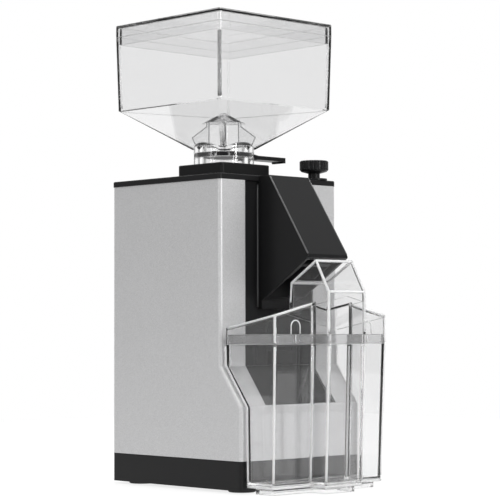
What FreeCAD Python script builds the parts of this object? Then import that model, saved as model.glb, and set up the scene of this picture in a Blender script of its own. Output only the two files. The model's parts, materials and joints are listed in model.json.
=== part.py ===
import FreeCAD, Part
import math
import os
import re
import Sketcher

# Burr coffee grinder with a bean hopper on top and a grounds container docked in front.
# Millimetres. +Z is up, the front faces -Y, and +X is on the right of someone facing the front.
# Every piece is laid out from the burr axis at table height; the whole is then moved along Y,
# so that the origin is under the middle of the grinder's box.

SIZES = {
    # outer body
    "body_width": 120, "body_depth": 121, "front_step": 21.5, "foot_rise": 2, "base_height": 21,
    "shell_height": 202.5, "toe_height": 38.5, "slope_height": 28.7, "shell_wall": 3.5,
    "edge_radius": 2.5, "base_wall": 3, "window_width": 70, "panel_recess": 2, "flange_lap": 5,
    "flange_thickness": 2, "cover_thickness": 4.2, "cover_overhang": 0.4, "cover_lip": 6,
    "lip_wall": 2, "soft_edge": 1,
    # clearances
    "slip_gap": 0.3, "run_gap": 0.05, "seat_gap": 0.2, "cut_past": 1,
    # columns, feet and screws
    "column_inset": 4, "column_y": 30, "column_radius": 5, "foot_radius": 10, "foot_sink": 1.5,
    "foot_inset": 16, "foot_chamfer": 0.6,
    "screw_radius": 2, "screw_head_radius": 3.6, "screw_head_height": 2.6, "screw_sink": 4,
    "screw_grip": 12, "screw_slot": 0.9, "vent_width": 4, "vent_length": 60, "vent_pitch": 9,
    # hopper mount and hopper
    "block_width": 50, "block_height": 12.3, "block_edge": 2, "spigot_radius": 18.7,
    "spigot_length": 8, "throat_radius": 16, "neck_radius": 23.2, "neck_height": 12,
    "neck_rise": 4.6, "funnel_foot": 17.5, "funnel_height": 30.2, "hopper_lean": 1.4,
    "hopper_top_half": 59.3, "hopper_wall_height": 56.8, "hopper_wall": 2.4, "hopper_radius": 2.6,
    "foot_corner": 2, "lid_height": 9, "lid_wall": 2.3, "lid_plug": 6, "lid_plug_wall": 2,
    "gate_thickness": 3, "gate_drop": 6, "gate_half": 19, "gate_reach": 60, "tab_width": 13,
    "tab_root": 7, "tab_lip": 2.4, "tab_lip_rise": 1.2,
    "guard_plate": 1.6, "guard_post": 12.5, "post_depth": 2, "guard_foot": 20, "guard_tip": 24,
    "tip_rise": 7.5, "shoulder_drop": 2, "guard_rise": 20, "cap_radius": 16, "cap_rim": 1.6,
    "cap_height": 8,
    # spout and chute
    "spout_width": 41, "spout_wall": 2.5, "spout_top_reach": 10.5, "spout_reach": 50,
    "spout_nose_drop": 59, "spout_lip": 2.2, "spout_heel_drop": 91.5, "spout_tail": 6.5,
    "spout_heel_reach": 2.2, "chute_width": 30, "chute_wall": 1.8, "chute_height": 22,
    "chute_bend_reach": 5.5, "chute_out_front": 38.5, "chute_out_back": 22.5, "chute_recess": 2.5,
    "flap_thickness": 0.8, "flap_drop": 14, "slit_x": 3.75, "slit_drop": 3.5, "mitre_in": 1.2,
    "mitre_down": 1.5,
    # grinding chamber and burrs
    "deck_depth": 43.5, "deck_thickness": 4, "chamber_radius": 36, "chamber_wall": 6.5,
    "chamber_floor": 4, "chamber_height": 34, "chamber_flange": 6, "hub_hole": 10,
    "burr_radius": 25, "burr_bore": 14, "burr_thickness": 6, "burr_gap": 0.8, "burr_groove": 1.2,
    "groove_width": 1.7, "groove_skew": 7, "burr_screw_circle": 19.5, "burr_screw": 1.6,
    "burr_screw_head": 3, "burr_screw_length": 8.5, "carrier_radius": 26, "carrier_thickness": 8,
    "carrier_drop": 11, "hub_radius": 8, "vane_reach": 3, "vane_width": 6, "bell_flange": 3,
    "bell_wall": 4,
    # motor
    "motor_drop": 44, "motor_margin": 19, "bracket_rim": 9, "bracket_thickness": 7,
    "stator_wall": 17, "stator_height": 58, "skirt_height": 10, "skirt_wall": 3, "air_gap": 0.6,
    "rotor_margin": 2, "winding_height": 8, "winding_inset": 3, "winding_margin": 4,
    "winding_chamfer": 2, "pillar_inset": 4, "pillar_radius": 2.5, "pillar_angle": 73,
    "shaft_radius": 5, "shaft_foot_radius": 4, "low_bearing_radius": 11, "bearing_width": 7,
    "race_wall": 2, "shield_sink": 0.5, "top_bearing_radius": 13, "fan_margin": 7,
    "fan_height": 10, "fan_gap": 2, "blade_width": 2, "fan_hub": 9, "fan_back": 1.6,
    "sleeve_radius": 16, "sleeve_length": 14, "sleeve_flange": 21, "sleeve_flange_height": 4,
    "bearing_sink": 1,
    # grind adjustment
    "knob_inset_x": 13.5, "knob_inset_y": 9.5, "knob_radius": 11, "knob_height": 8.3, "knob_rise": 6.8,
    "knob_stem": 4.5, "knob_edge": 1.4, "flute_radius": 0.6, "dial_radius": 10,
    "dial_thickness": 1.5, "spindle_radius": 3, "spindle_tail": 28, "lever_pivot": 38,
    "lever_height": 6, "lever_width": 10, "lever_drop": 18, "eye_radius": 5.7, "nut_radius": 4.2,
    "nut_height": 9, "fork_half": 14, "fork_notch": 9, "fork_end": 24, "cheek": 3.5, "bracket_length": 10,
    "pin_radius": 2, "pad_start": 10, "pad_length": 8, "pad_side": 11, "pad_width": 5,
    # controls
    "button_width": 20, "button_height": 10, "button_rise": 34.5, "button_proud": 3,
    "button_flange": 2, "button_travel": 2.5, "switch_width": 38, "switch_depth": 5.5,
    "post_radius": 2.5, "post_x": 16, "control_y": 5, "rocker_rise": 40, "rocker_width": 10.6,
    "rocker_length": 18.6, "rocker_depth": 6, "rocker_tilt": 6, "rocker_hollow": 0.6,
    "rocker_keel": 2.4, "stub_radius": 1.2, "housing_wall": 1.5,
    "housing_depth": 15, "housing_lap": 2, "housing_back": 1.5, "timer_rise": 77,
    "timer_radius": 12, "timer_stem": 3, "timer_stem_length": 5, "timer_plate": 16,
    "timer_body": 9, "pot_depth": 8, "grip_width": 3, "grip_depth": 1.2, "board_length": 40,
    "board_height": 40,
    "board_thickness": 1.6, "can_radius": 11, "can_length": 60, "gland_x": 35, "gland_radius": 7,
    "gland_shank": 5, "gland_bore": 3.3, "gland_reach": 2.5, "gland_rise": 12, "gland_tail": 6,
    # grounds container
    "dock_gap": 2, "tub_inset": 2.5, "wing_reach": 53.5, "lobe_reach": 69, "lobe_half": 19,
    "side_draft": 1.5, "front_draft": 3.5, "tub_wall": 2.6, "tub_floor": 3.5, "tub_corner": 2.5,
    "ring_inset": 4, "ring_wall": 2.2, "ring_rise": 4.5, "foot_hollow": 3, "skirt_rise": 83,
    "rim_height": 7, "skirt_wall_lid": 1.3,
    "lid_gap": 0.15, "roof_rear_rise": 94.5, "roof_pitch": 10.5, "roof_cross": 12.5,
    "roof_thickness": 2.2, "roof_margin": 8, "roof_reach": 60, "tower_wall": 2,
    "tower_back_reach": 28.5, "eave_back_reach": 30.5, "eave_back_rise": 127.5,
    "apex_reach": 56, "apex_rise": 143.5, "eave_front_rise": 120.5,
}

VENTS = 5
BURR_GROOVES = 24
BURR_SCREWS = 3
FAN_BLADES = 8
SWEEPER_VANES = 3
PILLARS = 4
KNOB_FLUTES = 24
FULL_TURN = 360
EIGHTH_TURN = "45"
STRAIGHT = 0.99
QUARTER = math.pi / 2
UP = FreeCAD.Vector(0, 0, 1)
ALONG_X = FreeCAD.Vector(1, 0, 0)
ALONG_Y = FreeCAD.Vector(0, 1, 0)

# Heights of the main joints above the table.
SEAM = "(foot_rise + base_height)"
SLOPE_LOW = f"({SEAM} + toe_height)"
SLOPE_HIGH = f"({SLOPE_LOW} + slope_height)"
SHELL_TOP = f"({SEAM} + shell_height)"
COVER_TOP = f"({SHELL_TOP} + cover_thickness)"
BLOCK_TOP = f"({COVER_TOP} + block_height)"
NECK_TOP = f"({BLOCK_TOP} + neck_height)"
WALL_BOTTOM = f"({NECK_TOP} + funnel_height)"
HOPPER_TOP = f"({WALL_BOTTOM} + hopper_wall_height)"
GATE_FLOOR = f"({NECK_TOP} - gate_drop)"
DECK_TOP = f"({SHELL_TOP} - deck_depth)"
DECK_BOTTOM = f"({DECK_TOP} - deck_thickness)"
CHAMBER_TOP = f"({DECK_TOP} + chamber_height)"
UPPER_BURR_TOP = f"({CHAMBER_TOP} - bell_wall)"
UPPER_BURR_FACE = f"({UPPER_BURR_TOP} - burr_thickness)"
LOWER_BURR_FACE = f"({UPPER_BURR_FACE} - burr_gap)"
CARRIER_TOP = f"({LOWER_BURR_FACE} - burr_thickness)"
MOTOR_TOP = f"({DECK_BOTTOM} - motor_drop)"
STATOR_TOP = f"({MOTOR_TOP} - bracket_thickness - skirt_height)"
STATOR_BOTTOM = f"({STATOR_TOP} - stator_height)"
LOW_BRACKET_TOP = f"({STATOR_BOTTOM} - skirt_height)"
LOW_BRACKET_BOTTOM = f"({LOW_BRACKET_TOP} - bracket_thickness)"
FAN_TOP = f"({LOW_BRACKET_BOTTOM} - fan_gap)"
FAN_BOTTOM = f"({FAN_TOP} - fan_height)"
SLEEVE_BOTTOM = f"({DECK_TOP} - sleeve_length)"
FLANGE_BOTTOM = f"({SLEEVE_BOTTOM} - sleeve_flange_height)"
LEVER_AXIS = f"({DECK_BOTTOM} - lever_drop)"
BUTTON_Z = f"({SLOPE_LOW} + button_rise)"
SKIRT_BOTTOM = f"({SEAM} + skirt_rise)"
RIM_TOP = f"({SKIRT_BOTTOM} + rim_height)"

# Distances from the burr axis.
FRONT = "(body_depth / 2)"
LOWER_FRONT = f"({FRONT} + front_step)"
SIDE = "(body_width / 2)"
INNER_SIDE = "(body_width / 2 - shell_wall)"
COLUMN_X = f"({INNER_SIDE} - column_inset)"
PANEL_FACE = f"({FRONT} - panel_recess)"
PANEL_BACK = f"({FRONT} - shell_wall)"
FLANGE_BACK = f"({PANEL_BACK} - flange_thickness)"
TUB_HALF = f"({SIDE} - tub_inset)"
KNOB_X = f"({SIDE} - knob_inset_x)"
KNOB_Y = f"({FRONT} - knob_inset_y)"
ARM = f"sqrt({KNOB_X} ^ 2 + {KNOB_Y} ^ 2)"
ARM_TURN = f"atan2(-{KNOB_Y}; {KNOB_X})"
STATOR_RADIUS = f"(min({SIDE}; {FRONT}) - motor_margin)"
STATOR_BORE = f"({STATOR_RADIUS} - stator_wall)"
BRACKET_RADIUS = f"({STATOR_RADIUS} + bracket_rim)"
AXIS_Y = "((lobe_reach - gland_reach) / 2)"

doc = FreeCAD.newDocument("burr_coffee_grinder")
sheet = doc.addObject("Spreadsheet::Sheet", "Sizes")
for row, (alias, number) in enumerate(SIZES.items(), start=1):
    sheet.set(f"A{row}", alias)
    sheet.set(f"B{row}", str(number))
    sheet.setAlias(f"B{row}", alias)
doc.recompute()

probe = doc.addObject("App::FeaturePython", "Probe")
probe.addProperty("App::PropertyFloat", "Reading")
subparts = {}
cuts = []


def bound(expression):
    """The expression with each size's name pointing at its cell of the sheet."""
    return re.sub(
        r"[a-z_]+",
        lambda word: f"Sizes.{word.group()}" if word.group() in SIZES else word.group(),
        expression,
    )


def reading(expression):
    """What an expression of sizes comes to."""
    probe.setExpression("Reading", bound(expression))
    probe.recompute()
    return probe.Reading


def spot(x, y):
    """A point of a sketch from two expressions."""
    return FreeCAD.Vector(reading(x), reading(y), 0)


def origin_part(body, role):
    """One of the body's own planes or axes."""
    return [part for part in body.Origin.OriginFeatures if part.Role == role][0]


def piece(name, x="0", y="0", z="0", turn=None, axis=UP):
    """An empty body, placed by distances from the burr axis and turned about one direction."""
    body = doc.addObject("PartDesign::Body", name)
    body.Label = name
    if turn is not None:
        body.Placement = FreeCAD.Placement(FreeCAD.Vector(), FreeCAD.Rotation(axis, 1))
        body.setExpression("Placement.Rotation.Angle", bound(turn))
    body.setExpression("Placement.Base.x", bound(x))
    body.setExpression("Placement.Base.y", bound(f"{y} + {AXIS_Y}"))
    body.setExpression("Placement.Base.z", bound(z))
    return body


def keep(part):
    """Lists a finished sub-part under its label."""
    subparts[part.Label] = part
    return part


def drive(profile, kind, expression, *where):
    """Adds a dimension to a sketch and binds it to an expression."""
    index = profile.addConstraint(Sketcher.Constraint(kind, *where, reading(expression)))
    profile.setExpression(f"Constraints[{index}]", bound(expression))


def pin_point(profile, geometry, end, x, y):
    """Fixes one point of a sketch by its two distances from the sketch's origin."""
    drive(profile, "DistanceX", x, -1, 1, geometry, end)
    drive(profile, "DistanceY", y, -1, 1, geometry, end)


def add_polygon(profile, points):
    """A closed outline through points given as pairs of expressions."""
    first = profile.GeometryCount
    count = len(points)
    corners = [spot(x, y) for x, y in points]
    for i in range(count):
        profile.addGeometry(Part.LineSegment(corners[i], corners[(i + 1) % count]))
    for i in range(count):
        following = first + (i + 1) % count
        profile.addConstraint(Sketcher.Constraint("Coincident", first + i, 2, following, 1))
    for i, (x, y) in enumerate(points):
        pin_point(profile, first + i, 1, x, y)


def add_circle(profile, radius, x="0", y="0"):
    """A circle of a given radius about a point."""
    ring = profile.addGeometry(Part.Circle(spot(x, y), UP, reading(radius)))
    pin_point(profile, ring, 3, x, y)
    drive(profile, "Radius", radius, ring)


def add_rounded(profile, corners, radius):
    """A closed outline of level and upright sides, joined by equal tangent quarter arcs."""
    sharp = [spot(x, y) for x, y in corners]
    bend = reading(radius)
    sides = []
    bends = []
    for i, (corner, (x, y)) in enumerate(zip(sharp, corners)):
        before = (corner - sharp[i - 1]).normalize()
        after = (sharp[(i + 1) % len(sharp)] - corner).normalize()
        begin = sharp[i - 1] + before * bend
        enter = corner - before * bend
        sides.append(profile.addGeometry(Part.LineSegment(begin, enter)))
        level = abs(before.x) > STRAIGHT
        profile.addConstraint(Sketcher.Constraint("Horizontal" if level else "Vertical", sides[-1]))
        drive(profile, "DistanceY" if level else "DistanceX", y if level else x, -1, 1, sides[-1], 1)
        outward = before.cross(after).z > 0
        middle = enter + after * bend
        first = enter - middle if outward else after * bend + corner - middle
        start = math.atan2(first.y, first.x)
        arc = Part.ArcOfCircle(Part.Circle(middle, UP, bend), start, start + QUARTER)
        bends.append((profile.addGeometry(arc), outward))
    for i, (arc, outward) in enumerate(bends):
        entry, leave = (1, 2) if outward else (2, 1)
        following = sides[(i + 1) % len(sides)]
        profile.addConstraint(Sketcher.Constraint("Tangent", sides[i], 2, arc, entry))
        profile.addConstraint(Sketcher.Constraint("Tangent", arc, leave, following, 1))
        if i:
            profile.addConstraint(Sketcher.Constraint("Equal", bends[0][0], arc))
    drive(profile, "Radius", radius, bends[0][0])


def sketch(body, plane, outlines, offset="0", tilt=None):
    """A sketch on one of the body's planes; each outline draws itself into it."""
    profile = body.newObject("Sketcher::SketchObject", f"{body.Name}_sketch")
    profile.AttachmentSupport = [(origin_part(body, f"{plane}_Plane"), "")]
    profile.MapMode = "FlatFace"
    if tilt is not None:
        profile.AttachmentOffset = FreeCAD.Placement(FreeCAD.Vector(), FreeCAD.Rotation(ALONG_X, 1))
        profile.setExpression("AttachmentOffset.Rotation.Angle", bound(tilt[0]))
        profile.setExpression("AttachmentOffset.Base.y", bound(tilt[1]))
    profile.setExpression("AttachmentOffset.Base.z", bound(offset))
    for outline in outlines:
        outline(profile)
    return profile


def polygon(*points):
    """An outline with straight sides."""
    return lambda profile: add_polygon(profile, points)


def rectangle(low_x, low_y, high_x, high_y):
    """An outline with four square corners."""
    return polygon((low_x, low_y), (high_x, low_y), (high_x, high_y), (low_x, high_y))


def band(half, low, high):
    """A rectangle that is symmetric about the sketch's upright axis."""
    return rectangle(f"-({half})", low, half, high)


def circle(radius, x="0", y="0"):
    """A round outline."""
    return lambda profile: add_circle(profile, radius, x, y)


def rounded(half_x, low_y, high_y, radius):
    """A rectangle with round corners, symmetric about the sketch's upright axis."""
    left = f"-({half_x})"
    return softened(radius, (half_x, low_y), (half_x, high_y), (left, high_y), (left, low_y))


def softened(radius, *corners):
    """An outline of level and upright sides with round corners."""
    return lambda profile: add_rounded(profile, corners, radius)


def extrude(kind, body, plane, outlines, length, offset="0", symmetric=False, tilt=None):
    """Pads or pockets outlines from an offset along their plane's normal."""
    feature = body.newObject(f"PartDesign::{kind}", f"{body.Name}_{kind.lower()}")
    feature.Profile = sketch(body, plane, outlines, offset, tilt)
    feature.SideType = "Symmetric" if symmetric else "One side"
    feature.Reversed = kind == "Pocket" and not symmetric
    feature.setExpression("Length", bound(length))
    body.Tip = feature
    return feature


def pad(body, plane, outlines, length, **where):
    """Adds material."""
    return extrude("Pad", body, plane, outlines, length, **where)


def pocket(body, plane, outlines, length, **where):
    """Takes material away."""
    feature = extrude("Pocket", body, plane, outlines, length, **where)
    cuts.append(feature)
    return feature


def spin(body, outline):
    """Turns an outline of radius and height about the body's own upright axis."""
    feature = body.newObject("PartDesign::Revolution", f"{body.Name}_turning")
    feature.Profile = sketch(body, "XZ", [outline])
    feature.ReferenceAxis = (feature.Profile[0], ["V_Axis"])
    feature.Angle = FULL_TURN
    body.Tip = feature
    return feature


def turned(name, *points, **place):
    """A piece made on the lathe from an outline of radii and heights."""
    body = piece(name, **place)
    spin(body, polygon(*points))
    return body


def ring(name, inner, outer, low, high, **place):
    """A turned ring between two radii and two heights."""
    return turned(name, (inner, low), (outer, low), (outer, high), (inner, high), **place)


def loft(body, sections, kind="AdditiveLoft"):
    """A straight-sided form through outlines at rising heights."""
    profiles = [sketch(body, "XY", [outline], height) for outline, height in sections]
    feature = body.newObject(f"PartDesign::{kind}", f"{body.Name}_{kind.lower()}")
    feature.Profile = profiles[0]
    feature.Sections = profiles[1:]
    feature.Ruled = True
    body.Tip = feature
    if kind == "SubtractiveLoft":
        cuts.append(feature)
    return feature


def polar(body, feature, count):
    """Repeats a feature about the body's upright axis."""
    pattern = body.newObject("PartDesign::PolarPattern", f"{body.Name}_pattern")
    pattern.Originals = [feature]
    pattern.Axis = (origin_part(body, "Z_Axis"), [""])
    pattern.Angle = FULL_TURN
    pattern.Occurrences = count
    body.Tip = pattern
    return pattern


def linear(body, feature, count, length):
    """Repeats a feature evenly along the body's X axis."""
    pattern = body.newObject("PartDesign::LinearPattern", f"{body.Name}_row")
    pattern.Originals = [feature]
    pattern.Direction = (origin_part(body, "X_Axis"), [""])
    pattern.setExpression("Length", bound(length))
    pattern.Occurrences = count
    body.Tip = pattern
    return pattern


def fillet(body, radius, chosen):
    """Rounds the edges of the body that a test picks."""
    doc.recompute()
    base = body.Tip
    names = [f"Edge{i}" for i, edge in enumerate(base.Shape.Edges, start=1) if chosen(edge)]
    feature = body.newObject("PartDesign::Fillet", f"{body.Name}_fillet")
    feature.Base = (base, names)
    feature.setExpression("Radius", bound(radius))
    body.Tip = feature
    return feature


def group(name, bodies):
    """Separate copies of one piece, kept together as one sub-part."""
    compound = doc.addObject("Part::Compound", name)
    compound.Label = name
    compound.Links = bodies
    return keep(compound)


def hollow(name, outside, inside):
    """A shell: one body less another."""
    shell = doc.addObject("Part::Cut", name)
    shell.Label = name
    shell.Base = outside
    shell.Tool = inside
    return keep(shell)


def run_of(edge):
    """The unit direction from an edge's start to its end, or nothing for a closed edge."""
    run = edge.Vertexes[-1].Point - edge.Vertexes[0].Point
    return run.normalize() if run.Length > Part.Precision.confusion() else run


def profile_behind(setback, low, high):
    """The body's front outline, moved back by a setback, from a low to a high level."""
    return [
        (f"-({LOWER_FRONT} - ({setback}))", low),
        (f"-({LOWER_FRONT} - ({setback}))", SLOPE_LOW),
        (f"-({FRONT} - ({setback}))", SLOPE_HIGH),
        (f"-({FRONT} - ({setback}))", high),
    ]


def column_places():
    """The four places where the base, the shell and the deck are screwed together."""
    return [(x, y) for x in (COLUMN_X, f"-{COLUMN_X}") for y in ("column_y", "-column_y")]


def make_base_tray():
    body = piece("base_tray")
    back = "body_depth / 2"
    outline = rounded(SIDE, f"-{LOWER_FRONT}", back, "edge_radius")
    pad(body, "XY", [outline], "base_height", offset="foot_rise")
    inside = rounded(
        f"{SIDE} - base_wall", f"-({LOWER_FRONT} - base_wall)", f"{back} - base_wall", "edge_radius"
    )
    pocket(body, "XY", [inside], "base_height", offset="foot_rise + base_wall")
    bosses = [circle("column_radius", x, y) for x, y in column_places()]
    pad(body, "XY", bosses, "base_height - base_wall / 2", offset="foot_rise + base_wall / 2")
    holes = [circle("screw_radius + run_gap", x, y) for x, y in column_places()]
    pocket(body, "XY", holes, "base_height + foot_rise + base_wall")
    heads = [circle("screw_head_radius + slip_gap", x, y) for x, y in column_places()]
    pocket(body, "XY", heads, "foot_rise + screw_sink")
    seats = [circle("foot_radius + run_gap", x, y) for x, y in foot_places()]
    pocket(body, "XY", seats, "foot_rise + foot_sink")
    half_row = f"vent_pitch * {VENTS - 1} / 2"
    slot = rectangle(
        f"-{half_row} - vent_width / 2", "-vent_length / 2",
        f"-{half_row} + vent_width / 2", "vent_length / 2",
    )
    vent = pocket(body, "XY", [slot], "foot_rise + base_wall + cut_past")
    linear(body, vent, VENTS, f"vent_pitch * {VENTS - 1}")
    outlet = circle("gland_shank + run_gap", "-gland_x", "gland_rise + foot_rise")
    pocket(body, "XZ", [outlet], "base_wall + 2 * cut_past", offset=f"-({back} + cut_past)")
    return keep(body)


def foot_places():
    """The four feet, two near the back and two under the toe."""
    across = f"({SIDE} - foot_inset)"
    along = (f"{FRONT} - foot_inset", f"-({LOWER_FRONT} - foot_inset)")
    return [(x, y) for x in (across, f"-{across}") for y in along]


def make_rubber_feet():
    feet = [
        turned(
            f"rubber_foot_{number}",
            ("0", "0"),
            ("foot_radius - foot_chamfer", "0"),
            ("foot_radius", "foot_chamfer"),
            ("foot_radius", "foot_rise + foot_sink"),
            ("0", "foot_rise + foot_sink"),
            x=x,
            y=y,
        )
        for number, (x, y) in enumerate(foot_places())
    ]
    return group("rubber_feet", feet)


def screw(name, radius, head_radius, head_height, length, **place):
    """A pan-head screw standing on its head, with a slot across the head."""
    body = turned(
        name,
        ("0", "0"),
        (head_radius, "0"),
        (head_radius, head_height),
        (radius, head_height),
        (radius, length),
        ("0", length),
        **place,
    )
    pocket(body, "XY", [band("screw_slot / 2", f"-({head_radius})", head_radius)], "screw_slot")
    return body


def make_base_screws():
    length = f"{SEAM} - foot_rise - screw_sink + screw_head_height + screw_grip"
    screws = [
        screw(
            f"base_screw_{number}", "screw_radius", "screw_head_radius", "screw_head_height", length,
            x=x, y=y, z="foot_rise + screw_sink - screw_head_height",
        )
        for number, (x, y) in enumerate(column_places())
    ]
    return group("base_screws", screws)


def make_body_shell():
    body = piece("body_shell")
    back = "body_depth / 2"
    outer = polygon((back, SHELL_TOP), (back, SEAM), *profile_behind("0", SEAM, SHELL_TOP))
    pad(body, "YZ", [outer], "body_width", symmetric=True)
    fillet(body, "edge_radius", edge_of_side)
    low = f"{SEAM} - cut_past"
    high = f"{SHELL_TOP} + cut_past"
    wall = f"{back} - shell_wall"
    room = polygon((wall, high), (wall, low), *profile_behind("shell_wall", low, high))
    pocket(body, "YZ", [room], "body_width - 2 * shell_wall", symmetric=True)
    columns = [circle("column_radius", x, y) for x, y in column_places()]
    pad(body, "XY", columns, f"{DECK_BOTTOM} - {SEAM}", offset=SEAM)
    threads = [circle("screw_radius + run_gap", x, y) for x, y in column_places()]
    pocket(body, "XY", threads, "screw_grip + screw_head_height + slip_gap", offset=SEAM)
    pocket(body, "XY", threads, "screw_grip + slip_gap", offset=f"{DECK_BOTTOM} - screw_grip - slip_gap")
    window = band("window_width / 2", SLOPE_LOW, high)
    deep = "front_step + shell_wall + 2 * cut_past"
    pocket(body, "XZ", [window], deep, offset=f"{PANEL_BACK} - cut_past")
    rocker_hole = rectangle(
        f"control_y - {HOUSING_HALF_Y} - run_gap",
        f"{ROCKER_Z} - {HOUSING_HALF_Z} - run_gap",
        f"control_y + {HOUSING_HALF_Y} + run_gap",
        f"{ROCKER_Z} + {HOUSING_HALF_Z} + run_gap",
    )
    timer_hole = circle("timer_radius + slip_gap", "control_y", TIMER_Z)
    through = "shell_wall + 2 * cut_past"
    pocket(body, "YZ", [rocker_hole, timer_hole], through, offset=f"{INNER_SIDE} - cut_past")
    return keep(body)


def edge_of_side(edge):
    """Whether an edge lies in a side face of the shell and isn't at its top or bottom."""
    run = run_of(edge)
    return abs(run.x) < 1 - STRAIGHT and abs(run.z) > 1 - STRAIGHT


ROCKER_Z = f"({SEAM} + rocker_rise)"
TIMER_Z = f"({SEAM} + timer_rise)"
HOUSING_HALF_Y = "(rocker_width / 2 + slip_gap + housing_wall)"
HOUSING_HALF_Z = "(rocker_length / 2 + slip_gap + housing_wall)"


def make_front_panel():
    body = piece("front_panel")
    low = f"{SLOPE_LOW} + seat_gap"
    high = f"{SHELL_TOP} - seat_gap"
    front = profile_behind("panel_recess", low, high)[1:]
    back = profile_behind("shell_wall", low, high)[1:]
    front[0] = (front[0][0], low)
    back[0] = (back[0][0], low)
    pad(body, "YZ", [polygon(*front, *reversed(back))], "window_width - 2 * seat_gap", symmetric=True)
    low = f"{SLOPE_LOW} - flange_lap"
    high = f"{SHELL_TOP} - cover_lip - seat_gap"
    front = profile_behind("shell_wall", low, high)
    back = profile_behind("shell_wall + flange_thickness", low, high)
    wide = "window_width + 2 * flange_lap"
    pad(body, "YZ", [polygon(*front, *reversed(back))], wide, symmetric=True)
    deep = f"{PANEL_FACE} - {FLANGE_BACK} + 2 * cut_past"
    start = f"{FLANGE_BACK} - cut_past"
    passage = band("chute_width / 2 + seat_gap", f"{CHUTE_LOW} - seat_gap", f"{CHUTE_HIGH} + seat_gap")
    pocket(body, "XZ", [passage], deep, offset=start)
    key = band(
        "button_width / 2 + slip_gap",
        f"{BUTTON_Z} - button_height / 2 - slip_gap",
        f"{BUTTON_Z} + button_height / 2 + slip_gap",
    )
    pocket(body, "XZ", [key], deep, offset=start)
    posts = [circle("post_radius", x, BUTTON_Z) for x in ("post_x", "-post_x")]
    pad(body, "XZ", posts, f"{FLANGE_BACK} - {SWITCH_FACE} + flange_thickness / 2", offset=SWITCH_FACE)
    return keep(body)


CHUTE_LOW = f"({DECK_TOP} + chamber_floor / 2)"
CHUTE_HIGH = f"({CHUTE_LOW} + chute_height)"
SWITCH_FACE = f"({FLANGE_BACK} - slip_gap - button_flange - button_travel - slip_gap)"


def make_top_cover():
    body = piece("top_cover")
    side = f"{SIDE} + cover_overhang"
    rear = "body_depth / 2 + cover_overhang"
    pad(body, "XY", [rounded(side, f"-{FRONT}", rear, "edge_radius")], "cover_thickness", offset=SHELL_TOP)
    fillet(body, "soft_edge", lambda edge: at_top_of(edge, body))
    lip_side = f"{INNER_SIDE} - slip_gap"
    lip_rear = "body_depth / 2 - shell_wall - slip_gap"
    lip_front = f"-({FLANGE_BACK} - slip_gap)"
    start = f"{SHELL_TOP} - cover_lip"
    outer = rounded(lip_side, lip_front, lip_rear, "edge_radius")
    inner = rounded(
        f"{lip_side} - lip_wall", f"{lip_front} + lip_wall", f"{lip_rear} - lip_wall", "lip_wall"
    )
    pad(body, "XY", [outer, inner], "cover_lip + cover_thickness / 2", offset=start)
    throat = circle("throat_radius + bell_wall + slip_gap")
    spindle = circle("spindle_radius + slip_gap", KNOB_X, f"-{KNOB_Y}")
    pocket(body, "XY", [throat, spindle], "cover_lip + cover_thickness + cut_past", offset=start)
    return keep(body)


def at_top_of(edge, body):
    """Whether an edge lies in the top face of what has been made of a body so far."""
    top = body.Tip.Shape.BoundBox.ZMax
    return edge.BoundBox.ZMin > top - Part.Precision.confusion()


def make_hopper_block():
    body = piece("hopper_block")
    half = "block_width / 2"
    pad(body, "XY", [rounded(half, f"-({half})", half, "block_edge")], "block_height", offset=COVER_TOP)
    fillet(body, "soft_edge", lambda edge: at_top_of(edge, body))
    bore = circle("spigot_radius + run_gap")
    pocket(body, "XY", [bore], "block_height + 2 * cut_past", offset=f"{COVER_TOP} - cut_past")
    hole = circle("screw_radius + run_gap", "0", f"{BLOCK_TOP} - spigot_length / 2")
    pocket(body, "XZ", [hole], f"{half} + cut_past", offset=f"-({half} + cut_past)")
    return keep(body)


def make_hopper_screw():
    length = "block_width / 2 - spigot_radius - slip_gap + screw_head_height"
    body = screw(
        "hopper_screw", "screw_radius", "screw_head_radius", "screw_head_height", length,
        y="block_width / 2 + screw_head_height", z=f"{BLOCK_TOP} - spigot_length / 2",
        turn="90", axis=ALONG_X,
    )
    return keep(body)


SPOUT_TOP = f"({COVER_TOP} - seat_gap)"
SPOUT_NOSE = f"({SPOUT_TOP} - spout_nose_drop)"
SPOUT_HEEL = f"({SPOUT_TOP} - spout_heel_drop)"
SPOUT_RISE = f"(({SPOUT_NOSE} - spout_lip - {SPOUT_HEEL}) / (spout_reach - spout_heel_reach))"


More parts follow.
